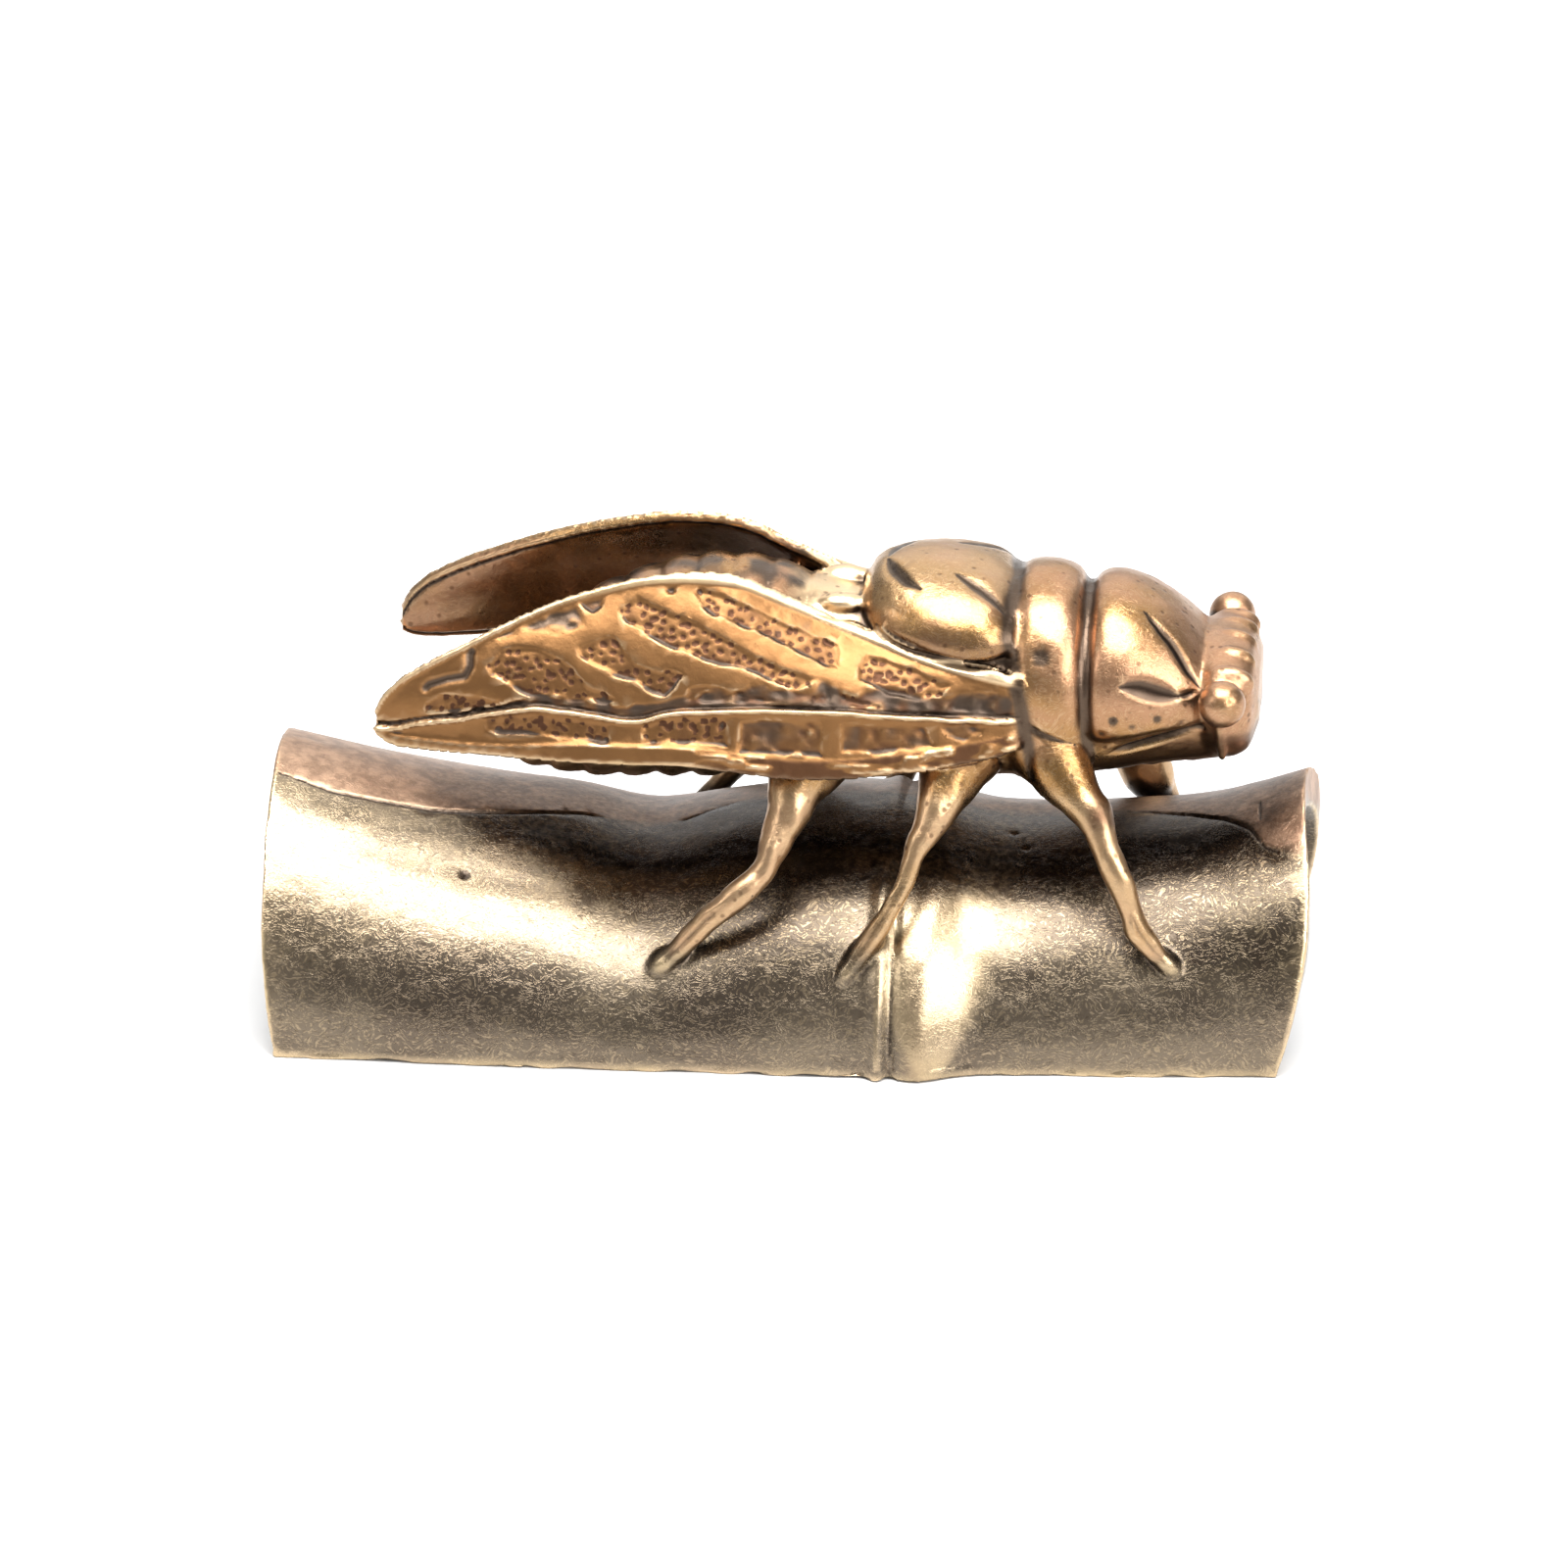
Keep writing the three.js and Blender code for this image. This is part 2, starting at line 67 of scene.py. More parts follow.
BASE_HALF_LENGTH = 23.1
BASE_WALL = 1.8
BASE_HALF_WIDTH = [[-23.1, 9.75], [-12, 10], [-4, 9.85], [3.2, 9.9], [8.7, 9.25], [15, 8.8], [23.1, 8.4]]
BASE_CREST = [[-23.1, 10.55], [-18.4, 9.45], [-14, 8.6], [-9.7, 8], [-6.6, 7.4], [-3.4, 8], [0, 8.6],
              [3.5, 8.75], [6.6, 8.35], [10.1, 8.05], [16, 8.6], [18.7, 9.1], [23.1, 10.55]]
# Growth node of the bamboo: place along X, height, spread.
NODE_RINGS = [[4.15, 0.34, 0.4], [4.75, -0.22, 0.18], [6, 0.62, 1.4]]
# The node fades towards the crest, to this share.
NODE_AT_CREST = 0.25
END_TAPER_START = 14
TAIL_END_DRAW = [0.15, 0.8]
HEAD_END_DRAW = [0.75, 1.5]

# Body sections: place along X, half width, middle height, top, underside.
ABDOMEN = [[-13.9, 0.5, 13.2, 13.9, 12.4], [-13.3, 1.8, 13.3, 15.2, 11.2], [-12, 2.9, 13.6, 16.4, 10.5],
           [-9.5, 3.9, 14.2, 18.1, 10.2], [-7.4, 4.4, 14.7, 19.2, 10.2], [-4.5, 4.7, 15, 20.15, 10.4],
           [-1.6, 4.7, 15.1, 20.15, 10.6], [0.3, 4.7, 15.1, 19.5, 10.8], [2, 4.6, 15.1, 19.1, 11],
           [5, 4.5, 15.2, 18.6, 11]]
ABDOMEN_RINGS = [-12.2, -10.7, -9.2, -7.6, -6, -4.4, -2.8, -1.2]
ABDOMEN_RING_DEPTH = 0.3
THORAX = [[2, 3.6, 15.2, 18.6, 11.2], [4, 4.4, 15.2, 18.9, 11], [8, 4.7, 15.3, 19.2, 11],
          [12.5, 4.4, 15.4, 19.2, 11.1], [16, 3.6, 15.2, 18, 11.6], [19.4, 3, 15, 16.6, 12]]
SHIELD = [[2.9, 1.6, 18.9, 19.3, 18.5], [3.4, 2.8, 18.7, 20.2, 17.9], [4.6, 3.9, 18.3, 20.75, 17.4],
          [6.4, 4.6, 18.2, 20.85, 17.2], [8.4, 4.7, 18.2, 20.5, 17.3], [9.7, 4.2, 18.2, 19.8, 17.6]]
COLLAR = [[9.2, 4.2, 15.4, 19.1, 11.6], [9.6, 4.8, 15.4, 19.9, 11.1], [10.4, 5.1, 15.4, 20.3, 10.9],
          [11.6, 5.1, 15.4, 20.25, 10.9], [12.4, 4.85, 15.4, 19.8, 11.2], [12.9, 4.3, 15.4, 19, 11.6]]
PRONOTUM = [[12.6, 4.2, 15.8, 19, 13.8], [13.2, 4.8, 15.7, 19.7, 13.5], [14.4, 4.95, 15.7, 19.85, 13.6],
            [16.2, 4.6, 15.7, 19, 14], [17.6, 3.9, 15.6, 17.8, 14.3], [18.3, 3.1, 15.5, 17, 14.6]]
HEAD = [[17.4, 2.6, 15.6, 17, 12.6], [18, 3.7, 16.1, 17.5, 12.2], [19, 4.2, 16.1, 17.5, 12.1],
        [19.9, 3.6, 15.7, 17.1, 12.6], [20.3, 2.4, 15.4, 16.4, 13.8]]
BELLY_SQUARENESS = 0.7
PLATE_SQUARENESS = 0.4
# Egg-shaped forms: place and radii.
LOBE = [[2, 1.5, 19], [1.05, 0.6, 0.45]]
EYE = [[18.8, 4.75, 16.2], [1.05, 1.05, 1.05]]
BROW_RIDGES = [0, 1.6, 3.1]
BROW_RIDGE_RADII = [1.15, 0.55, 0.8]
BROW_RIDGE_PLACE = [19, 16.85]
BROW_FALL = 0.04
# The bar under each eye: x, distance from the middle, height, radius.
CHEEK = [[18.6, 4.3, 15.6, 0.35], [18.7, 4, 14.4, 0.22], [18.8, 3.4, 13, 0.2]]

# Wings: place along X, distance from the middle, height, at the upper edge, the fold and the lower edge.
WING_ROOT = 10.2
WING_TIP = -18
WING_TOP = [[10.2, 4.9, 17.2], [6.1, 4, 17.75], [2.7, 2.95, 18.55], [-0.3, 2.8, 19.8], [-2.6, 3, 20.8],
            [-5.4, 3.35, 20.9], [-8, 3.65, 20.4], [-10.6, 4.1, 19.6], [-14.3, 5.05, 17.95],
            [-16.6, 5.4, 16.7], [-17.5, 5.5, 15.9], [-18, 5.55, 15.05]]
WING_FOLD = [[10.2, 5.2, 15.3], [7.5, 5.6, 15.5], [1.2, 6.4, 16], [-4.3, 6.7, 15.95], [-6.9, 6.8, 15.5],
             [-9.9, 6.6, 15.8], [-11.2, 6.6, 15.85], [-14.2, 6.2, 15.1], [-17.2, 5.75, 14.35],
             [-18, 5.6, 14.25]]
WING_LOW = [[10.2, 5.3, 14], [8.8, 5.8, 13.7], [5.1, 6.6, 13.25], [2.5, 7, 13.05], [0, 7.3, 13.1],
            [-4.2, 7.6, 13.65], [-8.5, 7.4, 13.6], [-13.7, 6.6, 13.5], [-16.6, 6, 13.45],
            [-17.5, 5.85, 13.6], [-18, 5.7, 13.95]]
WING_THICK = [[-18, 0.6], [-14, 0.85], [0, 1], [3, 1.4], [6, 2], [10.2, 2.4]]
WING_SWELL = 0.35
WING_INSIDE = [[-0.96, 0.5], [-0.6, 0.9], [0, 1], [0.6, 0.9], [0.98, 0.4]]

# Legs: x, distance from the middle, height, radius, from the hip to the foot. The left front leg is thicker
# between its hip and its foot.
REAR_LEG = [[1.2, 4, 12.9, 1.7], [0.4, 5.1, 11.9, 1.35], [0.1, 6, 11, 1], [-0.5, 6.9, 9.75, 0.68],
            [-1, 7.5, 8.7, 0.52], [-2.1, 8, 7.7, 0.62], [-3.4, 8.05, 6.5, 0.53], [-4.6, 8.05, 5.1, 0.48],
            [-5.3, 7.95, 4.4, 0.4]]
MIDDLE_LEG = [[7.6, 3.8, 13.2, 1.8], [7, 4.9, 12.3, 1.4], [6.4, 6.3, 11, 0.85], [5.7, 7.1, 9.9, 0.5],
              [5.3, 7.6, 8.7, 0.42], [4.6, 8, 7.3, 0.42], [3.7, 8.1, 5.75, 0.56], [2.8, 8.35, 4.4, 0.46]]
FRONT_LEG = [[11.4, 3.6, 13.2, 1.9], [11.9, 4.5, 12.6, 1.45], [12.6, 5.3, 11.9, 1.05],
             [13.4, 6.1, 11.2, 0.85], [13.9, 6.8, 10.1, 0.62], [14.6, 7.25, 8.7, 0.64],
             [15.1, 7.4, 7.3, 0.54], [15.4, 7.5, 6.5, 0.58], [16.1, 7.4, 5.5, 0.5], [16.7, 7.25, 4.85, 0.42]]
THICK_FRONT_LEG = [*FRONT_LEG[:3], [13.4, 6.1, 11.2, 0.9], [13.9, 6.6, 10.1, 0.95], [14.5, 6.9, 8.7, 1.15],
                   [15.1, 7.1, 7.2, 1.15], [15.5, 7.4, 6.4, 0.9], [16.1, 7.4, 5.5, 0.6], FRONT_LEG[-1]]
LEGS = {LEFT: [REAR_LEG, MIDDLE_LEG, THICK_FRONT_LEG], RIGHT: [REAR_LEG, MIDDLE_LEG, FRONT_LEG]}
FOOT_RADII = [1, 0.6, 0.5]

# Relief of a wing's outer face.
# Outlines are (place along X, place across): 0 on the fold, 1 on the upper edge, -1 on the lower edge.

PITTED_CELLS = [
    [[-13.2, 0.58], [-12.63, 0.73], [-11.78, 0.71], [-10.47, 0.55], [-9.46, 0.39], [-8.66, 0.23],
     [-7.45, 0.16], [-7.27, 0.11], [-9.41, 0.07], [-11.16, 0.09], [-12.3, 0.28], [-13.01, 0.45]],
    [[-15.84, 0.31], [-15.15, 0.41], [-14.16, 0.31], [-13.16, 0.21], [-12.15, 0.1], [-12.58, 0.03],
     [-13.67, 0.04], [-15.15, 0.08], [-15.85, 0.16]],
    [[-9.28, 0.54], [-8.74, 0.59], [-7.64, 0.62], [-7.06, 0.5], [-6.52, 0.39], [-5.83, 0.33],
     [-5.06, 0.31], [-4.37, 0.26], [-5.02, 0.15], [-5.31, 0.11], [-5.87, 0.16], [-6.79, 0.27],
     [-7.69, 0.31], [-8.69, 0.39], [-9.18, 0.46]],
    [[-7.57, 0.79], [-6.67, 0.9], [-5.17, 0.73], [-3.65, 0.6], [-2.22, 0.48], [-0.75, 0.38],
     [0.45, 0.34], [1.43, 0.31], [0.49, 0.14], [-0.32, 0.19], [-1.49, 0.28], [-2.98, 0.32],
     [-4.44, 0.39], [-5.09, 0.45], [-6.1, 0.56], [-7.11, 0.68]],
    [[-4.37, 0.86], [-4.01, 0.9], [-2.94, 0.86], [-1.64, 0.79], [-0.49, 0.77], [0.93, 0.73],
     [2.2, 0.73], [2.28, 0.42], [1.57, 0.43], [0.19, 0.52], [-1.19, 0.59], [-2.26, 0.62],
     [-3.33, 0.67], [-4.09, 0.77]],
    [[2.9, 0.52], [3.29, 0.71], [4.45, 0.73], [5.76, 0.69], [7.07, 0.57], [6.71, 0.33], [5.62, 0.22],
     [4.37, 0.27], [2.95, 0.36]],
    [[0.88, 0.13], [1.62, 0.23], [2.59, 0.22], [3.89, 0.13], [5.16, 0.09], [5.3, 0.05], [4, 0.04],
     [2.48, 0.04], [1.11, 0.06]],
    [[-13.2, -0.1], [-10.33, -0.12], [-7.62, -0.1], [-7.6, -0.56], [-10.32, -0.6], [-13.2, -0.5]],
    [[-6.35, -0.1], [-2.6, -0.12], [-2.4, -0.6], [-6.32, -0.6]],
]
# Cells left without pits, greyer and deeper.
SMOOTH_CELLS = [
    [[-4.49, 0.06], [-4.35, 0.18], [-3.55, 0.2], [-2.44, 0.16], [-1.15, 0.12], [0.1, 0.07],
     [-0.66, 0.04], [-2.4, 0.04]],
    [[-9.24, 0.94], [-8.0, 0.93], [-8.14, 0.84], [-8.6, 0.8], [-9.0, 0.87]],
    [[-5.63, 0.93], [-4.87, 0.92], [-5.01, 0.84], [-5.52, 0.85]],
    [[-2.1, -0.14], [1.6, -0.14], [1.65, -0.66], [-2.1, -0.68]],
    [[2.3, -0.16], [6, -0.14], [6.6, -0.62], [2.3, -0.66]],
    [[6.75, 0.12], [7.25, 0.39], [8.22, 0.57], [8.9, 0.55], [9, 0.12]],
    [[6.5, -0.14], [6.9, -0.4], [7.7, -0.52], [8.5, -0.38], [8.8, -0.14], [7.7, -0.06]],
]
# Beaten, bumpy field between the rim and the first cells.
BEATEN_FIELD = [[-13.0, 0.9], [-11.79, 0.92], [-9.3, 0.9], [-8.8, 0.7], [-10.03, 0.66], [-11.33, 0.8],
                [-12.61, 0.84]]
HOOK_GROOVE = [[-16.03, 0.5], [-15.69, 0.62], [-14.87, 0.6], [-14.09, 0.55], [-13.89, 0.66],
               [-13.92, 0.82], [-13.63, 0.9]]
CELL_DEPTH = 0.1
SMOOTH_CELL_DEPTH = 0.11
CELL_EDGE = 0.24
# A groove with a raised lip along the lower side of each cell: depth, height, and half width of both.
CELL_GROOVE, CELL_LIP, CELL_GROOVE_WIDTH = 0.07, 0.01, 0.08
# The deep band above the fold: place along X, width.
FOLD_BAND = [[-18.3, 0.16], [-12.5, 0.25], [-9, 0.8], [-6, 0.6], [-2, 1.05], [4, 1.3], [10.2, 1.1]]
FOLD_BAND_DEPTH = 0.16
PIT_SPACING = 0.43
PIT_RADIUS = [0.08, 0.15]
PIT_DEPTH = 0.07
# Each pitted cell has a seed of its own, from this one on.
FIRST_PIT_SEED = 40
# Further from an edge than any point of a wing.
NO_EDGE = 9
# Beaten field: height of its bumps, and how far it is sunk.
BUMP_HEIGHT, BEATEN_DEPTH = 0.1, 0.06
HOOK_GROOVE_WIDTH, HOOK_GROOVE_DEPTH = 0.2, 0.16
# Along the fold: a raised ledge, and a groove above it.
LEDGE_HEIGHT, FOLD_GROOVE_DEPTH = 0.18, 0.2
RIM_HEIGHT, LOW_RIM_HEIGHT, FLAKE_HEIGHT = 0.14, 0.13, 0.09
# The dark line inside the rim of a wing's inner face: how far in from the edge, half width, depth.
INNER_LINE, INNER_LINE_WIDTH, INNER_LINE_DEPTH = 0.34, 0.09, 0.08
# The wings and the body are above this height, the legs below.
HIP_LEVEL = 12.6

# Grooves and slits: half width, depth, soot, and the line on the cicada's own left side (x, y, z).
CREASES = [
    [0.3, 0.14, 0.85, [[4.0, 0.1, 20.5], [4.3, 1.1, 20.45], [4.9, 2.2, 20.35], [5.5, 2.7, 20.25]]],
    [0.34, 0.14, 0.75, [[6.9, 1.6, 20.6], [7.6, 2, 20.25], [8.4, 2.5, 19.9], [9.3, 3.2, 19.5]]],
    [0.24, 0.16, 0.95, [[15.2, 1.9, 19.1], [15.9, 2.4, 18.4], [16.4, 2.7, 17.7], [17.1, 3.2, 17],
                        [17.8, 3.6, 16.5]]],
    [0.42, 0.24, 0.85, [[14.4, 4.8, 16.9], [15.2, 4.6, 16.75], [16, 4.4, 16.45], [16.9, 4.2, 16.2]]],
    [0.12, 0.15, 0.8, [[16.5, 4.2, 16.2], [17.2, 4, 16.2], [18, 3.6, 16.3]]],
    [0.16, 0.16, 0.8, [[9.9, 5, 15.3], [10.9, 5, 14.7], [12.4, 4.8, 14.05]]],
    [0.12, 0.12, 0.6, [[0.9, 3.2, 19.2], [1.8, 3, 19], [2.8, 2.3, 18.6]]],
    [0.3, 0.2, 0.8, [[3.6, 3.1, 18.8], [4.8, 3.9, 18.3], [6.4, 4.4, 17.8], [8.2, 4.5, 17.5],
                     [9.4, 4.2, 17.2]]],
]
# Creases across the joints of the legs.
CREASES += [[0.12, 0.2, 0.7, line] for line in (
    [[5.92, 7.16, 10.79], [6.75, 6.84, 10.66]],
    [[14.87, 6.25, 5.96], [16.22, 7.53, 6.63]],
    [[-2.78, 7.92, 7.8], [-1.43, 8.22, 8]],
)]
# Grooves that keep their width: both sides of the collar, and under the edge of the neck plate.
GROOVES = [
    [0.42, 0.1, 0.62, [[9.8, 0, 19.8], [9.5, 1.6, 19.6], [9.35, 3, 19.3], [9.4, 4, 18.7], [9.5, 4.4, 17.7],
                      [9.8, 4.9, 16.9], [10.1, 5, 15.4], [10.4, 4.9, 14], [10.8, 4.8, 12.6]]],
    [0.44, 0.08, 0.6, [[12.8, 0, 19.3], [12.75, 1.4, 19.1], [12.75, 2.5, 18.6], [12.75, 3.7, 17.6],
                      [12.8, 4.3, 16.5], [12.9, 4.5, 14.9], [13, 4.3, 13.8], [13.1, 4, 12.8]]],
    [0.18, 0.22, 0.9, [[13.4, 4.3, 12.9], [15, 4.2, 13.3], [16.4, 3.9, 13.9], [17.8, 3.6, 14.4]]],
]
# The first grooves are soft valleys either side of the collar: how many, and how far they are eased.
VALLEYS = 2
VALLEY_WIDTH = 0.45
# Lower edge of the neck plate: place along X, height.
PLATE_EDGE = [[12.9, 12.8], [15, 13.3], [17.2, 14.2], [18.5, 14.6]]
# Shallow flutes down the lower legs: half width, depth and soot.
FLUTE = [0.14, 0.1, 0.35]
# Dents of the cicada: place, radius, depth. The bamboo's pits are given the same way.
DENTS = [[[10.9, 4.3, 17.9], 0.45, 0.12], [[14.1, 4.9, 15.3], 0.22, 0.14], [[14.9, 4.75, 15], 0.2, 0.12],
         [[16, 4.6, 15.3], 0.2, 0.12], [[13.6, 4.8, 14.6], 0.2, 0.1], [[17, 4.1, 15], 0.18, 0.1]]

# Marks of the bamboo on the side with the camera: seam of the mould, cracks and pits.
SEAMS = [
    [0.09, 0.16, 1, [[-22.7, -2.2, 10.2], [-20.3, -2.5, 9.5], [-16, -2.2, 8.7], [-12.6, -1.4, 8.3],
                  [-9.2, -0.5, 7.9], [-5, -0.1, 7.7], [-2.9, 0.9, 8]]],
    [0.08, 0.16, 1, [[14.5, 0.6, 8.4], [16.2, 0, 8.7], [17.5, -0.4, 8.8], [18.9, -1.3, 9.1],
                  [20, -2.3, 9.2], [20.7, -3.5, 8.9], [21.6, -4.1, 8.8]]],
    [0.07, 0.12, 1, [[20.4, -0.6, 9.7], [20.45, -2, 9.5]]],
]
BASE_PITS = [[[-14.2, -5.5, 7.2], 0.22, 0.16], [[6, -6, 6.6], 0.16, 0.2], [[9.6, -1.1, 8], 0.15, 0.12],
             [[10.2, -2.2, 7.8], 0.15, 0.12], [[4.2, -7.2, 6.4], 0.14, 0.12]]

# The dull strip along the bamboo's crest starts at the seam and the long crack (place along X, along Y),
# and fades out between two places along Y.
SEAM_PLACES = [[x, y] for seam in SEAMS[:2] for x, y, _ in seam[3]]
STRIP_START = [[-BASE_HALF_LENGTH, -2.2], *SEAM_PLACES[1:-1], [BASE_HALF_LENGTH, -4.5]]
STRIP_END = [5, 6.5]
# How much of the upper flank is left without painted shade: place along X, share. The rest is painted
# darker, where the flank's band of highlight is dimmer.
UPPER_FLANK_UNSHADED = [[-23.1, 1], [-10, 0.95], [-5, 0.3], [2.5, 0.3], [4.6, 1], [9, 1], [12, 0.35], [23.1, 0.3]]
# A place rubbed bright right of the growth node and shaped as a painted highlight: middle along X, half
# width at the ground, how much wider it grows per millimetre of height, largest half width, and its top.
NODE_WEAR_AND_HIGHLIGHT = [6.5, 0.4, 0.5, 2.3, 7]

SKIN_STEP = 0.1
TRIANGLES = 195000
BAR_SIDES = 28
BAR_STEPS = 90


# Forms.


def through(knots):
    """A smooth line through knots [x, a, b, ...]: gives rows of (a, b, ...) for an array of places."""
    rows = np.array(sorted(knots), float)
    where, sizes = rows[:, 0], rows[:, 1:]
    count = len(rows)
    before = np.maximum(np.arange(count) - 1, 0)
    after = np.minimum(np.arange(count) + 1, count - 1)
    slope = (sizes[after] - sizes[before]) / (where[after] - where[before])[:, None]

    def at(place):
        x = np.clip(np.atleast_1d(np.asarray(place, float)), where[0], where[-1])
        i = np.clip(np.searchsorted(where, x) - 1, 0, count - 2)
        span = (where[i + 1] - where[i])[:, None]
        t = (x - where[i])[:, None] / span
        ease = t * t * (3 - 2 * t)
        leave = (t**3 - 2 * t * t + t) * span * slope[i]
        arrive = (t**3 - t * t) * span * slope[i + 1]
        return sizes[i] + (sizes[i + 1] - sizes[i]) * ease + leave + arrive

    return at


def add(tree, kind, settings=None, **links):
    """Adds a node, sets its properties and unlinked inputs, and links the rest."""
    node = tree.nodes.new(kind)
    for name, value in (settings or {}).items():
        if hasattr(node, name):
            setattr(node, name, value)
        else:
            node.inputs[name.replace("_", " ")].default_value = value
    for name, source in links.items():
        socket = int(name[1:]) if name[0] == "i" and name[1:].isdigit() else name.replace("_", " ")
        if isinstance(source, bpy.types.NodeSocket):
            tree.links.new(source, node.inputs[socket])
        else:
            node.inputs[socket].default_value = source
    return node


def skin(rings):
    """A closed skin over rings of points, (rings, around, 3), with a fan over each end."""
    count, around = rings.shape[:2]
    points = np.vstack([rings.reshape(-1, 3), rings[0].mean(0), rings[-1].mean(0)])
    first = count * around
    i = (np.arange(count - 1) * around)[:, None]
    j = np.arange(around)[None, :]
    k = (j + 1) % around
    corners = [i + j, i + k, i + around + k, i + around + j]
    walls = [np.stack([corners[a].ravel() for a in pick], 1) for pick in ((0, 1, 2), (0, 2, 3))]
    j, k = j.ravel(), k.ravel()
    last = first - around
    fans = [
        np.stack([np.full(around, first), k, j], 1),
        np.stack([np.full(around, first + 1), last + j, last + k], 1),
    ]
    return points, np.vstack(walls + fans)


def mirrored(form):
    points, faces = form
    return points * [1, -1, 1], faces[:, ::-1]


def body_part(knots, steps=60, cut=None, squareness=BELLY_SQUARENESS):
    """A part of the body, round above and squarer below."""
    x = np.linspace(min(k[0] for k in knots), max(k[0] for k in knots), steps)
    half, middle, top, under = through(knots)(x).T[:, :, None]
    depth = 0 if cut is None else cut(x)[:, None]
    angle = np.linspace(0, 2 * math.pi, 72, endpoint=False)[None, :]
    rise = np.sin(angle)
    above = (top - middle - depth) * np.clip(rise, 0, None)
    below = (middle - under - depth) * np.clip(-rise, 0, None) ** squareness
    across = (half - depth) * np.cos(angle)
    return skin(np.stack([x[:, None] + 0 * angle, across, middle + above - below], -1))


def segment_cut(x):
    """The abdomen swells between its rings and steps in at each of them."""
    cut = np.zeros_like(x)
    edges = [-13.6] + ABDOMEN_RINGS + [0.6]
    for start, end in itertools.pairwise(edges):
        share = np.clip((x - start) / (end - start), 0, 1)
        inside = (x >= start) & (x < end)
        cut[inside] = (1 - np.sin(math.pi * share[inside] ** 0.7) ** 0.5) * ABDOMEN_RING_DEPTH
    return cut


def new_tree(name, inputs):
    """An empty geometry nodes tree with named inputs, and its input and output nodes."""
    tree = bpy.data.node_groups.new(name, "GeometryNodeTree")
    tree.interface.new_socket("Geometry", in_out="INPUT", socket_type="NodeSocketGeometry")
    for label, kind in inputs.items():
        tree.interface.new_socket(label, in_out="INPUT", socket_type=kind)
    tree.interface.new_socket("Geometry", in_out="OUTPUT", socket_type="NodeSocketGeometry")
    return tree, tree.nodes.new("NodeGroupInput").outputs, tree.nodes.new("NodeGroupOutput")


def bar_along_path():
    """Geometry nodes: round bars along smooth paths through points, as thick as the attribute thick."""
    tree, given, out = new_tree("bar_along_path", {"Sides": "NodeSocketInt", "Steps": "NodeSocketInt",
                                                   "Finish": "NodeSocketMaterial"})
    path = add(tree, "GeometryNodeMeshToCurve", Mesh=given["Geometry"]).outputs[0]
    smooth = add(tree, "GeometryNodeCurveSplineType", {"spline_type": "CATMULL_ROM"}, Curve=path).outputs[0]
    fine = add(tree, "GeometryNodeResampleCurve", Curve=smooth, Count=given["Steps"]).outputs[0]
    ring = add(tree, "GeometryNodeCurvePrimitiveCircle", {"Radius": 1.0}, Resolution=given["Sides"])
    thick = add(tree, "GeometryNodeInputNamedAttribute", {"data_type": "FLOAT"}, Name="thick").outputs[0]
    bar = add(tree, "GeometryNodeCurveToMesh", {"Fill Caps": True}, Curve=fine,
              Profile_Curve=ring.outputs[0], Scale=thick)
    whole = add(tree, "GeometryNodeRealizeInstances", Geometry=bar.outputs[0]).outputs[0]
    add_finish(tree, whole, given["Finish"], out)
    return tree


def eggs_on_points():
    """Geometry nodes: an egg on each point, turned by the attribute turn and sized by radii."""
    tree, given, out = new_tree("eggs_on_points", {"Sides": "NodeSocketInt", "Rings": "NodeSocketInt",
                                                   "Finish": "NodeSocketMaterial"})
    ball = add(tree, "GeometryNodeMeshUVSphere", {"Radius": 1.0}, Segments=given["Sides"],
               Rings=given["Rings"])
    vector = {"data_type": "FLOAT_VECTOR"}
    radii, turn = (add(tree, "GeometryNodeInputNamedAttribute", vector, Name=name).outputs[0]
                   for name in ("radii", "turn"))
    turned = add(tree, "FunctionNodeEulerToRotation", Euler=turn).outputs[0]
    eggs = add(tree, "GeometryNodeInstanceOnPoints", Points=given["Geometry"], Instance=ball.outputs[0],
               Rotation=turned, Scale=radii)
    whole = add(tree, "GeometryNodeRealizeInstances", Geometry=eggs.outputs[0]).outputs[0]
    add_finish(tree, whole, given["Finish"], out)
    return tree


def add_finish(tree, geometry, finish, out):
    finished_form = add(tree, "GeometryNodeSetMaterial", Geometry=geometry, Material=finish)
    tree.links.new(finished_form.outputs[0], out.inputs[0])


def grown(tree, mesh, sizes):
    """The points and triangles that a tree grows from a mesh, with its inputs set by their names."""
    thing = bpy.data.objects.new(tree.name, mesh)
    bpy.context.scene.collection.objects.link(thing)
    grow = thing.modifiers.new("grow", "NODES")
    grow.node_group = tree
    sockets = {item.name: item.identifier for item in tree.interface.items_tree if item.in_out == "INPUT"}
    for label, value in sizes.items():
        grow[sockets[label]] = value
    made = finished(thing)
    made.calc_loop_triangles()
    form = points_of(made), read(made.loop_triangles, "vertices", 3, np.int32)
    bpy.data.objects.remove(thing)
    return form


def bars(paths, finish):
    """Round bars through paths of [x, y, z, radius]."""
    rows = np.vstack(paths)
    mesh = bpy.data.meshes.new("paths")
    starts = np.cumsum([0] + [len(path) for path in paths])
    edges = [(i, i + 1) for a, b in itertools.pairwise(starts.tolist()) for i in range(a, b - 1)]
    mesh.from_pydata(rows[:, :3].tolist(), edges, [])
    keep_on_points(mesh, {"thick": rows[:, 3]})
    return grown(bar_along_path(), mesh, {"Sides": BAR_SIDES, "Steps": BAR_STEPS, "Finish": finish})


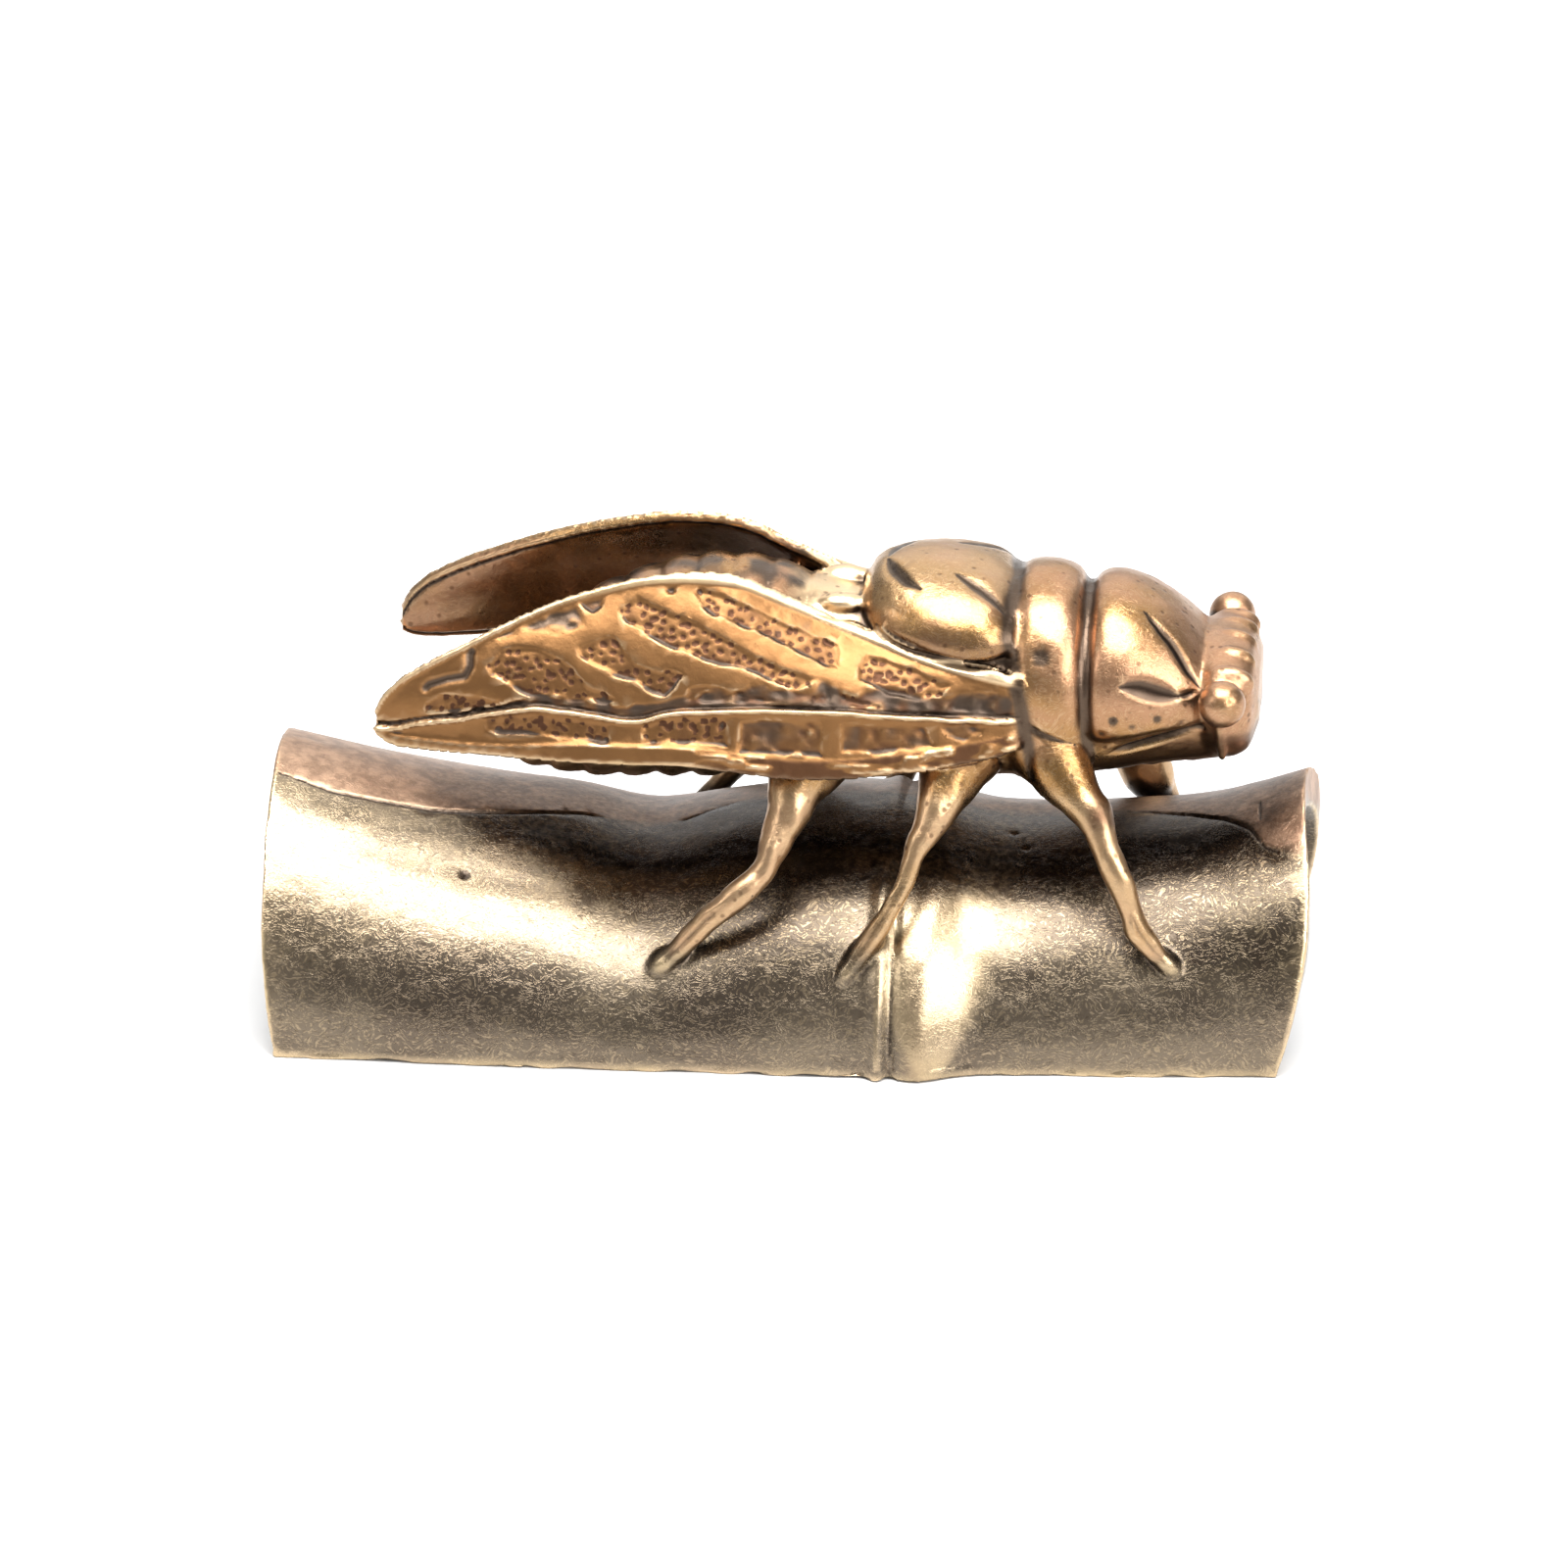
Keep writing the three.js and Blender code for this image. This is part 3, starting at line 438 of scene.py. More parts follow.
def eggs(rows, finish):
    """Egg-shaped forms from rows of (place, radii, the way their first radius lies)."""
    mesh = bpy.data.meshes.new("egg_places")
    mesh.from_pydata([list(place) for place, _, _ in rows], [], [])
    turns = [Vector((1, 0, 0)).rotation_difference(Vector(way)).to_euler() for _, _, way in rows]
    for name, values in (("radii", [row[1] for row in rows]), ("turn", turns)):
        data = mesh.attributes.new(name, "FLOAT_VECTOR", "POINT").data
        data.foreach_set("vector", np.array(values, np.float32).ravel())
    return grown(eggs_on_points(), mesh, {"Sides": 32, "Rings": 18, "Finish": finish})


def limbs_and_eggs(finish):
    """Legs, cheek bars, feet, eyes, lobes and brow ridges, on both sides."""
    paths, rows = [], []
    for side, legs in LEGS.items():
        for knots in legs + [CHEEK]:
            paths.append(np.array(knots) * [1, side, 1, 1])
        for path in paths[-4:-1]:
            rows.append((path[-1, :3], FOOT_RADII, path[-1, :3] - path[-2, :3]))
        rows += [(np.array(place) * [1, side, 1], radii, (1, 0, 0)) for place, radii in (LOBE, EYE)]
        brow_x, brow_z = BROW_RIDGE_PLACE
        rows += [((brow_x, side * y, brow_z - BROW_FALL * y * y), BROW_RIDGE_RADII, (1, 0, 0))
                 for y in BROW_RIDGES[0 if side == LEFT else 1:]]
    return [bars(paths, finish), eggs(rows, finish)]


base_half_width, base_crest = through(BASE_HALF_WIDTH), through(BASE_CREST)


def node_rise(x):
    return sum(height * bell(x - place, spread) for place, height, spread in NODE_RINGS)


def bamboo():
    """The half tube: its outer and inner half-ovals, joined along the ground and at both ends."""
    x = np.unique(np.r_[np.linspace(-BASE_HALF_LENGTH, BASE_HALF_LENGTH, 150), np.linspace(3.4, 9.2, 60)])
    angle = np.linspace(0, math.pi, 110)
    rise = np.sin(angle)
    reach = np.clip(np.abs(x) - END_TAPER_START, 0, None) / (BASE_HALF_LENGTH - END_TAPER_START)
    crest_draw, ground_draw = np.where(x[:, None] < 0, TAIL_END_DRAW, HEAD_END_DRAW).T
    draw = crest_draw[:, None] * rise**4 + ground_draw[:, None] * (1 - rise) ** 2
    place = x[:, None] - np.sign(x)[:, None] * reach[:, None] ** 2 * draw
    half, crest = base_half_width(x), base_crest(x)
    swell = node_rise(x)[:, None] * (1 - (1 - NODE_AT_CREST) * rise**3)
    layers = []
    for inset in (-swell, BASE_WALL - 0.3 * swell):
        layers.append(np.stack([place, (half - inset) * np.cos(angle), (crest - inset) * rise], -1))
    outer, inner = layers
    ring = np.concatenate([outer, inner[:, ::-1]], 1)
    points, faces = skin(ring)
    count, around = ring.shape[:2]
    faces = faces[: 2 * (count - 1) * around]
    points = points[: count * around]
    k = np.arange(len(angle) - 1)
    far = around - 1 - k
    low = np.vstack([np.stack([k, far, k + 1], 1), np.stack([k + 1, far, far - 1], 1)])
    high = low[:, ::-1] + (count - 1) * around
    return points, np.vstack([faces, low, high])


wing_top, wing_fold, wing_low = through(WING_TOP), through(WING_FOLD), through(WING_LOW)
wing_thick = through(WING_THICK)


def wing_swell(share, length):
    return WING_SWELL * np.sin(math.pi * np.clip(share, 0, 1)) * np.minimum(length / 5, 1)


def wing():
    """The cicada's left wing: the outer face swells above the fold, the inner face follows it."""
    t = np.linspace(0, 1, 220)
    x = (WING_ROOT + (WING_TIP - WING_ROOT) * np.sin(t * math.pi / 2) ** 0.9)[:, None]
    across = np.r_[np.linspace(-1, 1, 60), np.linspace(0.98, -0.96, 40)][None, :]
    share_inside = np.interp(across[0, 60:], *np.array(WING_INSIDE).T)
    depth = np.r_[np.zeros(60), share_inside][None, :] * wing_thick(x.ravel())
    fold = wing_fold(x.ravel())[:, None]
    upper = wing_top(x.ravel())[:, None] - fold
    lower = fold - wing_low(x.ravel())[:, None]
    along = np.where(across[..., None] < 0, lower, upper)
    length = np.linalg.norm(along, axis=2)
    out = np.where(across > 0, wing_swell(across, length), 0) - depth
    middle = fold + along * across[..., None]
    y = middle[..., 0] + along[..., 1] / length * out
    z = middle[..., 1] - along[..., 0] / length * out
    return skin(np.stack([x + 0 * y, y, z], -1)[:, ::-1])


def cicada(finish):
    forms = [body_part(ABDOMEN, 400, segment_cut)]
    forms += [body_part(knots) for knots in (THORAX, SHIELD, COLLAR, HEAD)]
    forms.append(body_part(PRONOTUM, squareness=PLATE_SQUARENESS))
    return forms + [wing(), mirrored(wing())] + limbs_and_eggs(finish)


# Meshes.


def mesh_of(name, points, faces):
    mesh = bpy.data.meshes.new(name)
    mesh.vertices.add(len(points))
    move_points(mesh, points)
    mesh.loops.add(faces.size)
    mesh.loops.foreach_set("vertex_index", faces.astype(np.int32).ravel())
    mesh.polygons.add(len(faces))
    mesh.polygons.foreach_set("loop_start", np.arange(0, faces.size, faces.shape[1], dtype=np.int32))
    mesh.update(calc_edges=True)
    return mesh


def finished(thing):
    """The object's mesh with its modifiers applied, and the modifiers taken away."""
    evaluated = thing.evaluated_get(bpy.context.evaluated_depsgraph_get())
    mesh = bpy.data.meshes.new_from_object(evaluated)
    thing.modifiers.clear()
    thing.data = mesh
    return mesh


def read(collection, what, width, kind=np.float32):
    values = np.zeros(len(collection) * width, kind)
    collection.foreach_get(what, values)
    return values.reshape(-1, width) if width > 1 else values


def points_of(mesh):
    return read(mesh.vertices, "co", 3).astype(float)


def normals_of(mesh):
    return read(mesh.vertex_normals, "vector", 3).astype(float)


def move_points(mesh, points):
    mesh.vertices.foreach_set("co", np.asarray(points, np.float32).ravel())


def keep_on_points(mesh, values):
    """Stores a value for each point of a mesh, under each name."""
    for name, value in values.items():
        mesh.attributes.new(name, "FLOAT", "POINT").data.foreach_set("value", value.astype(np.float32))


def fused(forms):
    """Closed forms that overlap, fused into one skin of even squares."""
    points, faces, start = [], [], 0
    for form_points, form_faces in forms:
        points.append(form_points)
        faces.append(form_faces + start)
        start += len(form_points)
    mesh = mesh_of("casting", np.vstack(points), np.vstack(faces))
    thing = bpy.data.objects.new("cicada_on_bamboo_casting", mesh)
    bpy.context.scene.collection.objects.link(thing)
    fuse = thing.modifiers.new("fuse", "REMESH")
    fuse.mode = "VOXEL"
    fuse.voxel_size = SKIN_STEP
    finished(thing)
    return thing


def eased(values, edges, rounds, share=0.5):
    """Values on the points of a mesh, averaged with their neighbours'."""
    values = np.array(values, float)
    count = len(values)
    neighbours = np.bincount(edges.ravel(), minlength=count)
    columns = values.reshape(count, -1)
    for _ in range(rounds):
        for c in range(columns.shape[1]):
            column = columns[:, c]
            total = np.bincount(edges[:, 0], column[edges[:, 1]], count)
            total += np.bincount(edges[:, 1], column[edges[:, 0]], count)
            columns[:, c] = column + share * (total / neighbours - column)
    return columns.reshape(values.shape)


def step(low, high, value):
    """0 up to low and 1 from high on, easing in between. Low may be the larger one."""
    t = np.clip((value - low) / (high - low), 0, 1)
    return t * t * (3 - 2 * t)


def bell(far, width):
    """1 in the middle, falling softly to nothing about two widths away."""
    return np.exp(-((far / width) ** 2))


def blended(table, cell, part):
    """Values of a table in space, blended between the eight corners of the cell that each point is in."""
    total = np.zeros(len(cell))
    for corner in itertools.product((0, 1), repeat=3):
        weight = np.prod(np.where(corner, part, 1 - part), 1)
        total += weight * table[tuple(((cell + corner) % table.shape).T)]
    return total


def lumps(points, size, seed):
    """Smooth random lumps from -1 to 1, about that many millimetres across."""
    table = np.random.default_rng(seed).uniform(-1, 1, (32, 32, 32))
    place = points / size
    cell = np.floor(place).astype(int)
    return blended(table, cell, step(0, 1, place - cell))


def to_line(points, line):
    """How far points are from a line, and how far along the line they are, from 0 to 1."""
    line = np.array(line, float)
    lengths = np.linalg.norm(np.diff(line, axis=0), axis=1)
    starts = np.r_[0, np.cumsum(lengths)]
    best = np.full(len(points), np.inf)
    along = np.zeros(len(points))
    for i, length in enumerate(lengths):
        way = (line[i + 1] - line[i]) / length
        reach = np.clip((points - line[i]) @ way, 0, length)
        far = np.linalg.norm(points - line[i] - reach[:, None] * way, axis=1)
        nearer = far < best
        best = np.where(nearer, far, best)
        along = np.where(nearer, (starts[i] + reach) / starts[-1], along)
    return best, along


def inside_of(points, outline):
    """How far points are inside a flat outline, less than 0 outside."""
    outline = np.array(outline, float)
    far, _ = to_line(points, np.vstack([outline, outline[:1]]))
    within = np.zeros(len(points), bool)
    for (ax, ay), (bx, by) in zip(outline, np.roll(outline, -1, 0)):
        if ay != by:
            crosses = (points[:, 1] < ay) != (points[:, 1] < by)
            within ^= crosses & (points[:, 0] < ax + (points[:, 1] - ay) * (bx - ax) / (by - ay))
    return np.where(within, far, -far)


# Relief.


def on_wing(points):
    """Where points are on a wing: place across, width from the fold to the edge, distance out from the outer
    face, and the way outwards."""
    x = points[:, 0]
    y, z = np.abs(points[:, 1]), points[:, 2]
    fold = wing_fold(x)
    found = []
    for along in (wing_top(x) - fold, fold - wing_low(x)):
        length = np.maximum(np.linalg.norm(along, axis=1), 0.05)
        off = np.stack([y, z], 1) - fold
        share = (off * along).sum(1) / length**2
        out = (off[:, 0] * along[:, 1] - off[:, 1] * along[:, 0]) / length
        found.append((share, length, out, along))
    above = found[0][0] >= 0
    share, length, out = (np.where(above, found[0][k], found[1][k]) for k in range(3))
    out -= np.where(above, wing_swell(share, length), 0)
    along = np.where(above[:, None], found[0][3], found[1][3]) / length[:, None]
    outward = np.stack([np.zeros(len(x)), along[:, 1] * np.sign(points[:, 1]), -along[:, 0]], 1)
    return share, length, out, outward


def flat(outline):
    """A wing outline in millimetres: place along X, and distance up from the fold."""
    rows = np.array(outline, float)
    fold = wing_fold(rows[:, 0])
    edge = np.where(rows[:, 1:] >= 0, wing_top(rows[:, 0]), wing_low(rows[:, 0]))
    return np.c_[rows[:, 0], rows[:, 1] * np.linalg.norm(edge - fold, axis=1)]


def pits_in(place, outline, seed):
    """Depth of small irregular pits, from 0 to 1, scattered inside an outline."""
    draw = np.random.default_rng(seed)
    low, high = outline.min(0), outline.max(0)
    columns, rows = (np.ceil((high - low) / PIT_SPACING)).astype(int) + 1
    grid = np.stack(np.meshgrid(np.arange(columns), np.arange(rows)), -1).reshape(-1, 2).astype(float)
    grid[:, 0] += 0.5 * (grid[:, 1] % 2)
    centres = low + (grid + draw.uniform(-0.36, 0.36, grid.shape)) * PIT_SPACING
    centres = centres[inside_of(centres, outline) > 0.08]
    depth = np.zeros(len(place))
    for centre in centres:
        radius = draw.uniform(*PIT_RADIUS)
        longer, turn = draw.uniform(1, 1.7), draw.uniform(0, math.pi)
        strength = draw.uniform(0.6, 1)
        off = place - centre
        near = np.abs(off).max(1) < 3 * PIT_RADIUS[1]
        a = off[near, 0] * math.cos(turn) + off[near, 1] * math.sin(turn)
        b = off[near, 1] * math.cos(turn) - off[near, 0] * math.sin(turn)
        pit = strength * np.exp(-((((a / longer) ** 2 + b**2) / radius**2) ** 1.5))
        depth[near] = np.maximum(depth[near], pit)
    return depth


def cell_relief(near, place, rough):
    """The cells between the veins, each with a groove along its low side: height, soot and brown patina."""
    tall, dark, pitted = np.zeros((3, len(near)))
    uneven, sooty = lumps(near, 0.35, 5), lumps(near, 0.5, 8)
    nudge = 0.05
    for n, outline in enumerate(PITTED_CELLS + SMOOTH_CELLS):
        shape = flat(outline)
        within = inside_of(place, shape)
        rise = (inside_of(place + [0, nudge], shape) - within) / nudge
        within += 0.07 * rough
        floor = step(0, CELL_EDGE, within)
        low_side = step(0.2, 0.8, rise) * step(-0.5, 0.3, rough)
        groove = low_side * bell(within - 0.1, CELL_GROOVE_WIDTH)
        lip = low_side * bell(within + 0.07, CELL_GROOVE_WIDTH)
        tall += CELL_LIP * lip - CELL_GROOVE * groove
        dark = np.maximum(dark, 0.7 * groove)
        if n < len(PITTED_CELLS):
            pits = pits_in(place, shape, FIRST_PIT_SEED + n) * step(0, 0.1, within)
            tall -= CELL_DEPTH * floor + PIT_DEPTH * pits
            pitted = np.maximum(pitted, np.maximum(step(0.1, 0.6, pits), floor * (0.35 + 0.14 * rough)))
        else:
            tall -= SMOOTH_CELL_DEPTH * floor * (1 + 0.6 * uneven)
            pitted = np.maximum(pitted, floor * (0.42 + 0.2 * uneven))
            dark = np.maximum(dark, floor * (0.2 + 0.25 * sooty))
        brown_side = low_side * step(0, 0.06, within) * step(0.5, 0.1, within)
        pitted = np.maximum(pitted, brown_side * (0.65 + 0.35 * rough))
    return tall, dark, pitted


def fold_band(near, up, rough):
    """The uneven sunk band above the fold: height, soot and brown patina."""
    width = through(FOLD_BAND)(near[:, 0])[:, 0] * (1 + 0.35 * rough)
    within = step(0.02, 0.12, up) * step(width, 0.6 * width, up)
    uneven = lumps(near, 0.4, 6)
    depth = FOLD_BAND_DEPTH * within * (0.6 + 0.5 * uneven)
    return -depth, within * (0.36 + 0.26 * rough), within * (0.55 + 0.25 * uneven)


def beaten_field(near, place):
    """The bumpy field, sooty between its bumps: height and soot."""
    within = step(-0.1, 0.3, inside_of(place, flat(BEATEN_FIELD)))
    bumps = lumps(near, 0.45, 7)
    return within * (BUMP_HEIGHT * bumps - BEATEN_DEPTH), within * (0.25 + 0.45 * step(0.2, -0.6, bumps)), 0


def hook_groove(place):
    """The hooked groove near the tip: height and soot."""
    far, along = to_line(place, flat(HOOK_GROOVE))
    within = bell(far, HOOK_GROOVE_WIDTH) * step(0, 0.1, along) * step(1, 0.9, along)
    return -HOOK_GROOVE_DEPTH * within, 0.65 * within, 0


def fold_line(near, up):
    """The ledge along the fold, and the sooty groove above it, which wanders a little: height and soot."""
    along = near * [1, 0, 0]
    wander = 0.05 * lumps(along, 0.9, 9)
    groove = bell(up - 0.1 - wander, 0.08) * (0.7 + 0.4 * lumps(along, 1.6, 10))
    ledge = bell(up + 0.1 - wander, 0.1)
    return LEDGE_HEIGHT * ledge - FOLD_GROOVE_DEPTH * groove, 0.9 * groove, 0


def upper_rim(near, share, length):
    """1 on the rim along the upper edge, which is wider towards the root."""
    to_edge = np.where(share > 0, (1 - share) * length, NO_EDGE)
    width = 0.26 + 0.2 * step(-7, -3, near[:, 0])
    return step(width + 0.14, width - 0.06, to_edge)


def lower_rim(near, share, length):
    """The rim along the lower edge, torn into flakes towards the root: height and brown patina."""
    to_edge = np.where(share < 0, (1 + share) * length, NO_EDGE)
    width = 0.45 + 0.4 * step(-14, -8, near[:, 0])
    rim = step(width + 0.15, width - 0.1, to_edge)
    flakes = lumps(near * [0.45, 1, 2.2], 0.5, 11)
    torn = step(-5.5, -2, near[:, 0]) * rim
    tall = LOW_RIM_HEIGHT * rim + FLAKE_HEIGHT * torn * (step(0, 0.25, flakes) - 0.5)
    return tall, 0, torn * step(0.1, -0.2, flakes) * 0.6


def wing_relief(points, normals):
    """Height of the relief on the wings, the soot in its grooves, the brown patina in its pits, and where
    the outer faces and their rubbed upper rims are."""
    height, dirt, pit_mask, outer_face, top_rim = np.zeros((5, len(points)))
    worth = (points[:, 2] > HIP_LEVEL) & (points[:, 0] < 10.4) & (np.abs(points[:, 1]) > 2.4)
    where = np.flatnonzero(worth)
    share, length, out, outward = on_wing(points[where])
    facing = (normals[where] * outward).sum(1)
    keep = (np.abs(out) < 0.5) & (facing > 0.35) & (np.abs(share) < 1.08)
    where, share, length, facing = where[keep], share[keep], length[keep], facing[keep]
    near = points[where]
    up = share * length
    place = np.c_[near[:, 0], up]
    rough = lumps(near, 0.5, 3)
    rim = upper_rim(near, share, length)
    tall, dark, pitted = cell_relief(near, place, rough)
    for rise, soot, brown in (fold_band(near, up, rough), beaten_field(near, place), hook_groove(place),
                              fold_line(near, up), (RIM_HEIGHT * rim, 0, 0), lower_rim(near, share, length)):
        tall += rise
        dark = np.maximum(dark, soot)
        pitted = np.maximum(pitted, brown)
    fade = step(0.35, 0.6, facing) * step(10.3, 9.4, near[:, 0])
    height[where] = tall * fade
    dirt[where] = dark * fade
    pit_mask[where] = pitted * fade
    outer_face[where] = fade
    top_rim[where] = rim * fade * step(-11, -5, near[:, 0])
    return height, dirt, pit_mask, outer_face, top_rim


def wing_inside(points, normals):
    """On the inner faces of the wings: where painted shade darkens them over the patina, and the line inside
    the rim.
    """
    share, length, out, outward = on_wing(points)
    facing = (normals * outward).sum(1)
    to_edge = np.where(share > 0, 1 - share, 1 + share) * length
    inner = (points[:, 0] < 4) & (points[:, 2] > HIP_LEVEL) & (facing < -0.2) & (out > -2.5)
    line = inner * bell(to_edge - INNER_LINE, INNER_LINE_WIDTH)
    return inner * step(INNER_LINE - 0.15, INNER_LINE, to_edge), line


def on_abdomen(points):
    """1 on the ringed abdomen, from its own sections."""
    half, middle, top, _ = through(ABDOMEN)(points[:, 0]).T
    oval = np.hypot(points[:, 1] / half, np.clip(points[:, 2] - middle, 0, None) / (top - middle))
    return step(1.3, 1.1, oval) * step(1.2, 0.6, points[:, 0]) * step(12, 12.5, points[:, 2])


def under_neck_plate_shade_and_patina(points):
    """1 on the sides of the body below the edge of the neck plate, which get painted shade and a brown
    patina.
    """
    x, z = points[:, 0], points[:, 2]
    edge = through(PLATE_EDGE)(x)[:, 0]
    return step(12.9, 13.4, x) * step(edge, edge - 0.3, z) * step(10.8, 11.2, z)


def on_skin(points, line):
    """A line's points moved to the nearest points of the skin."""
    return np.array([points[((points - place) ** 2).sum(1).argmin()] for place in np.array(line, float)])


def valleys(points):
    """1 along the middle of the soft valleys either side of the collar."""
    found = np.zeros(len(points))
    for side, (_, _, _, row) in itertools.product((LEFT, RIGHT), GROOVES[:VALLEYS]):
        far, _ = to_line(points, on_skin(points, np.array(row) * [1, side, 1]))
        found = np.maximum(found, bell(far, VALLEY_WIDTH))
    return found


def marks(points):
    """Height and soot of the grooves, dents, seams and pits. Those of the cicada are on both of its sides,
    those of the bamboo only where they are given."""
    height, dirt = np.zeros((2, len(points)))
    flutes = [[*FLUTE, [[x, y + 0.85 * r, z + 0.45 * r] for x, y, z, r in knots[-4:]]]
              for knots in LEGS[RIGHT]]
    both, as_given = (LEFT, RIGHT), (1,)
    lines = [(half, depth, soot, np.array(row) * [1, side, 1], taper)
             for rows, taper, sides in ((CREASES + flutes, 0.6, both), (GROOVES, 0.1, both),
                                        (SEAMS, 0.3, as_given))
             for half, depth, soot, row in rows for side in sides]
    for half, depth, soot, row, taper in lines:
        line = on_skin(points, row)
        low, high = line.min(0) - 3 * half, line.max(0) + 3 * half
        where = np.flatnonzero(((points > low) & (points < high)).all(1))
        if not len(where):
            continue
        far, along = to_line(points[where], line)
        width = half * np.clip(np.sin(math.pi * np.clip(along, 0.02, 0.98)), 0.05, 1) ** taper
        groove = bell(far, width)
        height[where] -= depth * groove * np.clip(width / half, 0, 1)
        height[where] += 0.08 * depth * bell(far - 2 * width, 0.8 * width)
        dirt[where] = np.maximum(dirt[where], soot * groove)
    spots = [(np.array(place) * [1, side, 1], radius, depth)
             for rows, sides in ((DENTS, both), (BASE_PITS, as_given))
             for place, radius, depth in rows for side in sides]
    for place, radius, depth in spots:
        dent = bell(np.linalg.norm(points - place, axis=1), radius)
        height -= depth * dent
        dirt = np.maximum(dirt, dent * min(depth * 6, 1))
    return height, dirt


def outside_bamboo(points):
    """How far points are outside the bamboo's own half-oval, in millimetres."""
    half, crest = base_half_width(points[:, 0])[:, 0], base_crest(points[:, 0])[:, 0]
    oval = np.hypot(points[:, 1] / half, points[:, 2] / crest)
    return (oval - 1) * np.minimum(half, crest)


def press_relief(thing):
    """Moves the fine relief into the fused skin, and keeps what the finish needs as attributes."""
    mesh = thing.data
    edges = read(mesh.edges, "vertices", 2, np.int32)
    points = eased(points_of(mesh), edges, 4)
    points += valleys(points)[:, None] * (eased(points, edges, 24) - points)
    move_points(mesh, points)
    mesh.update()
    normals = normals_of(mesh)
    on_base = step(1.1, 0.35, outside_bamboo(points)) * step(12, 11.5, points[:, 2])
    height, dirt, pits, wing_face, rim = wing_relief(points, normals)
    inner, inner_line = wing_inside(points, normals)
    height -= INNER_LINE_DEPTH * inner_line
    dirt = np.maximum(dirt, inner_line)
    cut, mark_dirt = marks(points)
    height += cut
    dirt = np.maximum(dirt, mark_dirt)
    # The uneven skin of the casting, in long waves on the bamboo and short ones on the cicada.
    height += on_base * (0.07 * lumps(points * [0.6, 1, 1], 3.2, 21) + 0.02 * lumps(points, 1.1, 22))
    height += (1 - on_base) * (0.02 * lumps(points, 0.7, 23) + 0.012 * lumps(points, 0.3, 25))
    legs = (1 - on_base) * step(HIP_LEVEL, 12, points[:, 2])
    height += legs * 0.06 * lumps(points * [1.2, 1.2, 0.7], 0.7, 26)
    strip_from = through(STRIP_START)(points[:, 0])[:, 0]
    strip = on_base * step(-0.1, 0.25, points[:, 1] - strip_from) * step(*STRIP_END[::-1], points[:, 1])
    strip *= step(3, 4, points[:, 2]) * (normals[:, 2] > 0)
    grey = on_abdomen(points) * (1 - inner) * (0.3 + 0.4 * lumps(points, 0.6, 27))
    dirt = np.maximum(dirt, grey)
    # The sides under the neck plate: painted shade through inner, and brown patina through pits.
    under_plate_shade_and_patina = under_neck_plate_shade_and_patina(points)
    inner = np.maximum(inner, under_plate_shade_and_patina)
    pits = np.maximum(pits, under_plate_shade_and_patina * (0.45 + 0.2 * lumps(points * [0.3, 1, 1.6], 0.4, 28)))
    fine_relief = (points[:, 2] > HIP_LEVEL) & (pits + dirt + np.abs(height) > 0.03) & (on_base < 0.5)
    # The bamboo's ragged bottom edge.
    bottom = on_base * step(1.3, 0.2, points[:, 2])
    tatter = lumps(points * [0.7, 1, 2.2], 0.8, 24)
    height += bottom * 0.1 * (tatter - 0.3)
    moved = points + normals * height[:, None]
    soft = eased(moved, edges, 8)
    broad = eased(soft, edges, 36, 0.8)
    fine_hollow = ((soft - moved) * normals).sum(1)
    broad_hollow = ((broad - moved) * normals).sum(1)
    move_points(mesh, eased(moved, edges, 1, 0.3))
    keep_on_points(mesh, {"dirt": dirt, "fine": fine_hollow, "broad": broad_hollow, "base": on_base,
                          "inner": inner, "pits": pits, "strip": strip, "wing": wing_face, "rim": rim})
    mesh.update()
    return fine_relief & (wing_face > 0)


def thinned(thing, kept):
    """The skin with fewer triangles, apart from the points that are kept as they are."""
    even = thing.vertex_groups.new(name="even")
    even.add(np.flatnonzero(~kept).tolist(), 1.0, "REPLACE")
    count = 2 * len(thing.data.polygons)
    thin = thing.modifiers.new("thin", "DECIMATE")
    thin.vertex_group = "even"
    thin.ratio = min(TRIANGLES / count, 1)
    thin.use_collapse_triangulate = True
    mesh = finished(thing)
    thing.vertex_groups.clear()
    return mesh


def shelter(mesh):
    """How much metal stands in front of each point of the skin: near by, and further off."""
    points, normals = points_of(mesh), normals_of(mesh)
    corners = read(mesh.loops, "vertex_index", 1, np.int32).reshape(len(mesh.polygons), -1)
    tree = BVHTree.FromPolygons(points.tolist(), corners.tolist())
    size, margin, most_hits = 0.5, 6, 16
    low = points.min(0) - margin
    counts = np.ceil((points.max(0) + margin - low) / size).astype(int)
    solid = np.zeros(counts)
    down = Vector((0, 0, -1))
    for i, j in itertools.product(range(counts[0]), range(counts[1])):
        x, y, z = low[0] + (i + 0.5) * size, low[1] + (j + 0.5) * size, points[:, 2].max() + 1
        hits = []
        while len(hits) < most_hits:
            hit = tree.ray_cast(Vector((x, y, z)), down)
            if hit[0] is None:
                break
            hits.append(hit[0].z)
            z = hit[0].z - 0.01
        for top, bottom in zip(hits[::2], hits[1::2]):
            k = [int(round((h - low[2]) / size)) for h in (bottom, top)]
            solid[i, j, k[0] : max(k[1], k[0] + 1)] = 1
    found = []
    for spread in (0.9, 2.6):
        blurred = solid
        reach = int(3 * spread / size)
        weights = np.exp(-0.5 * (np.arange(-reach, reach + 1) * size / spread) ** 2)
        weights /= weights.sum()
        for axis in range(3):
            blurred = np.apply_along_axis(np.convolve, axis, blurred, weights, "same")
        place = (points + normals * spread * 1.1 - low) / size - 0.5
        cell = np.clip(np.floor(place).astype(int), 0, counts - 2)
        found.append(blended(blurred, cell, np.clip(place - cell, 0, 1)))
    return found


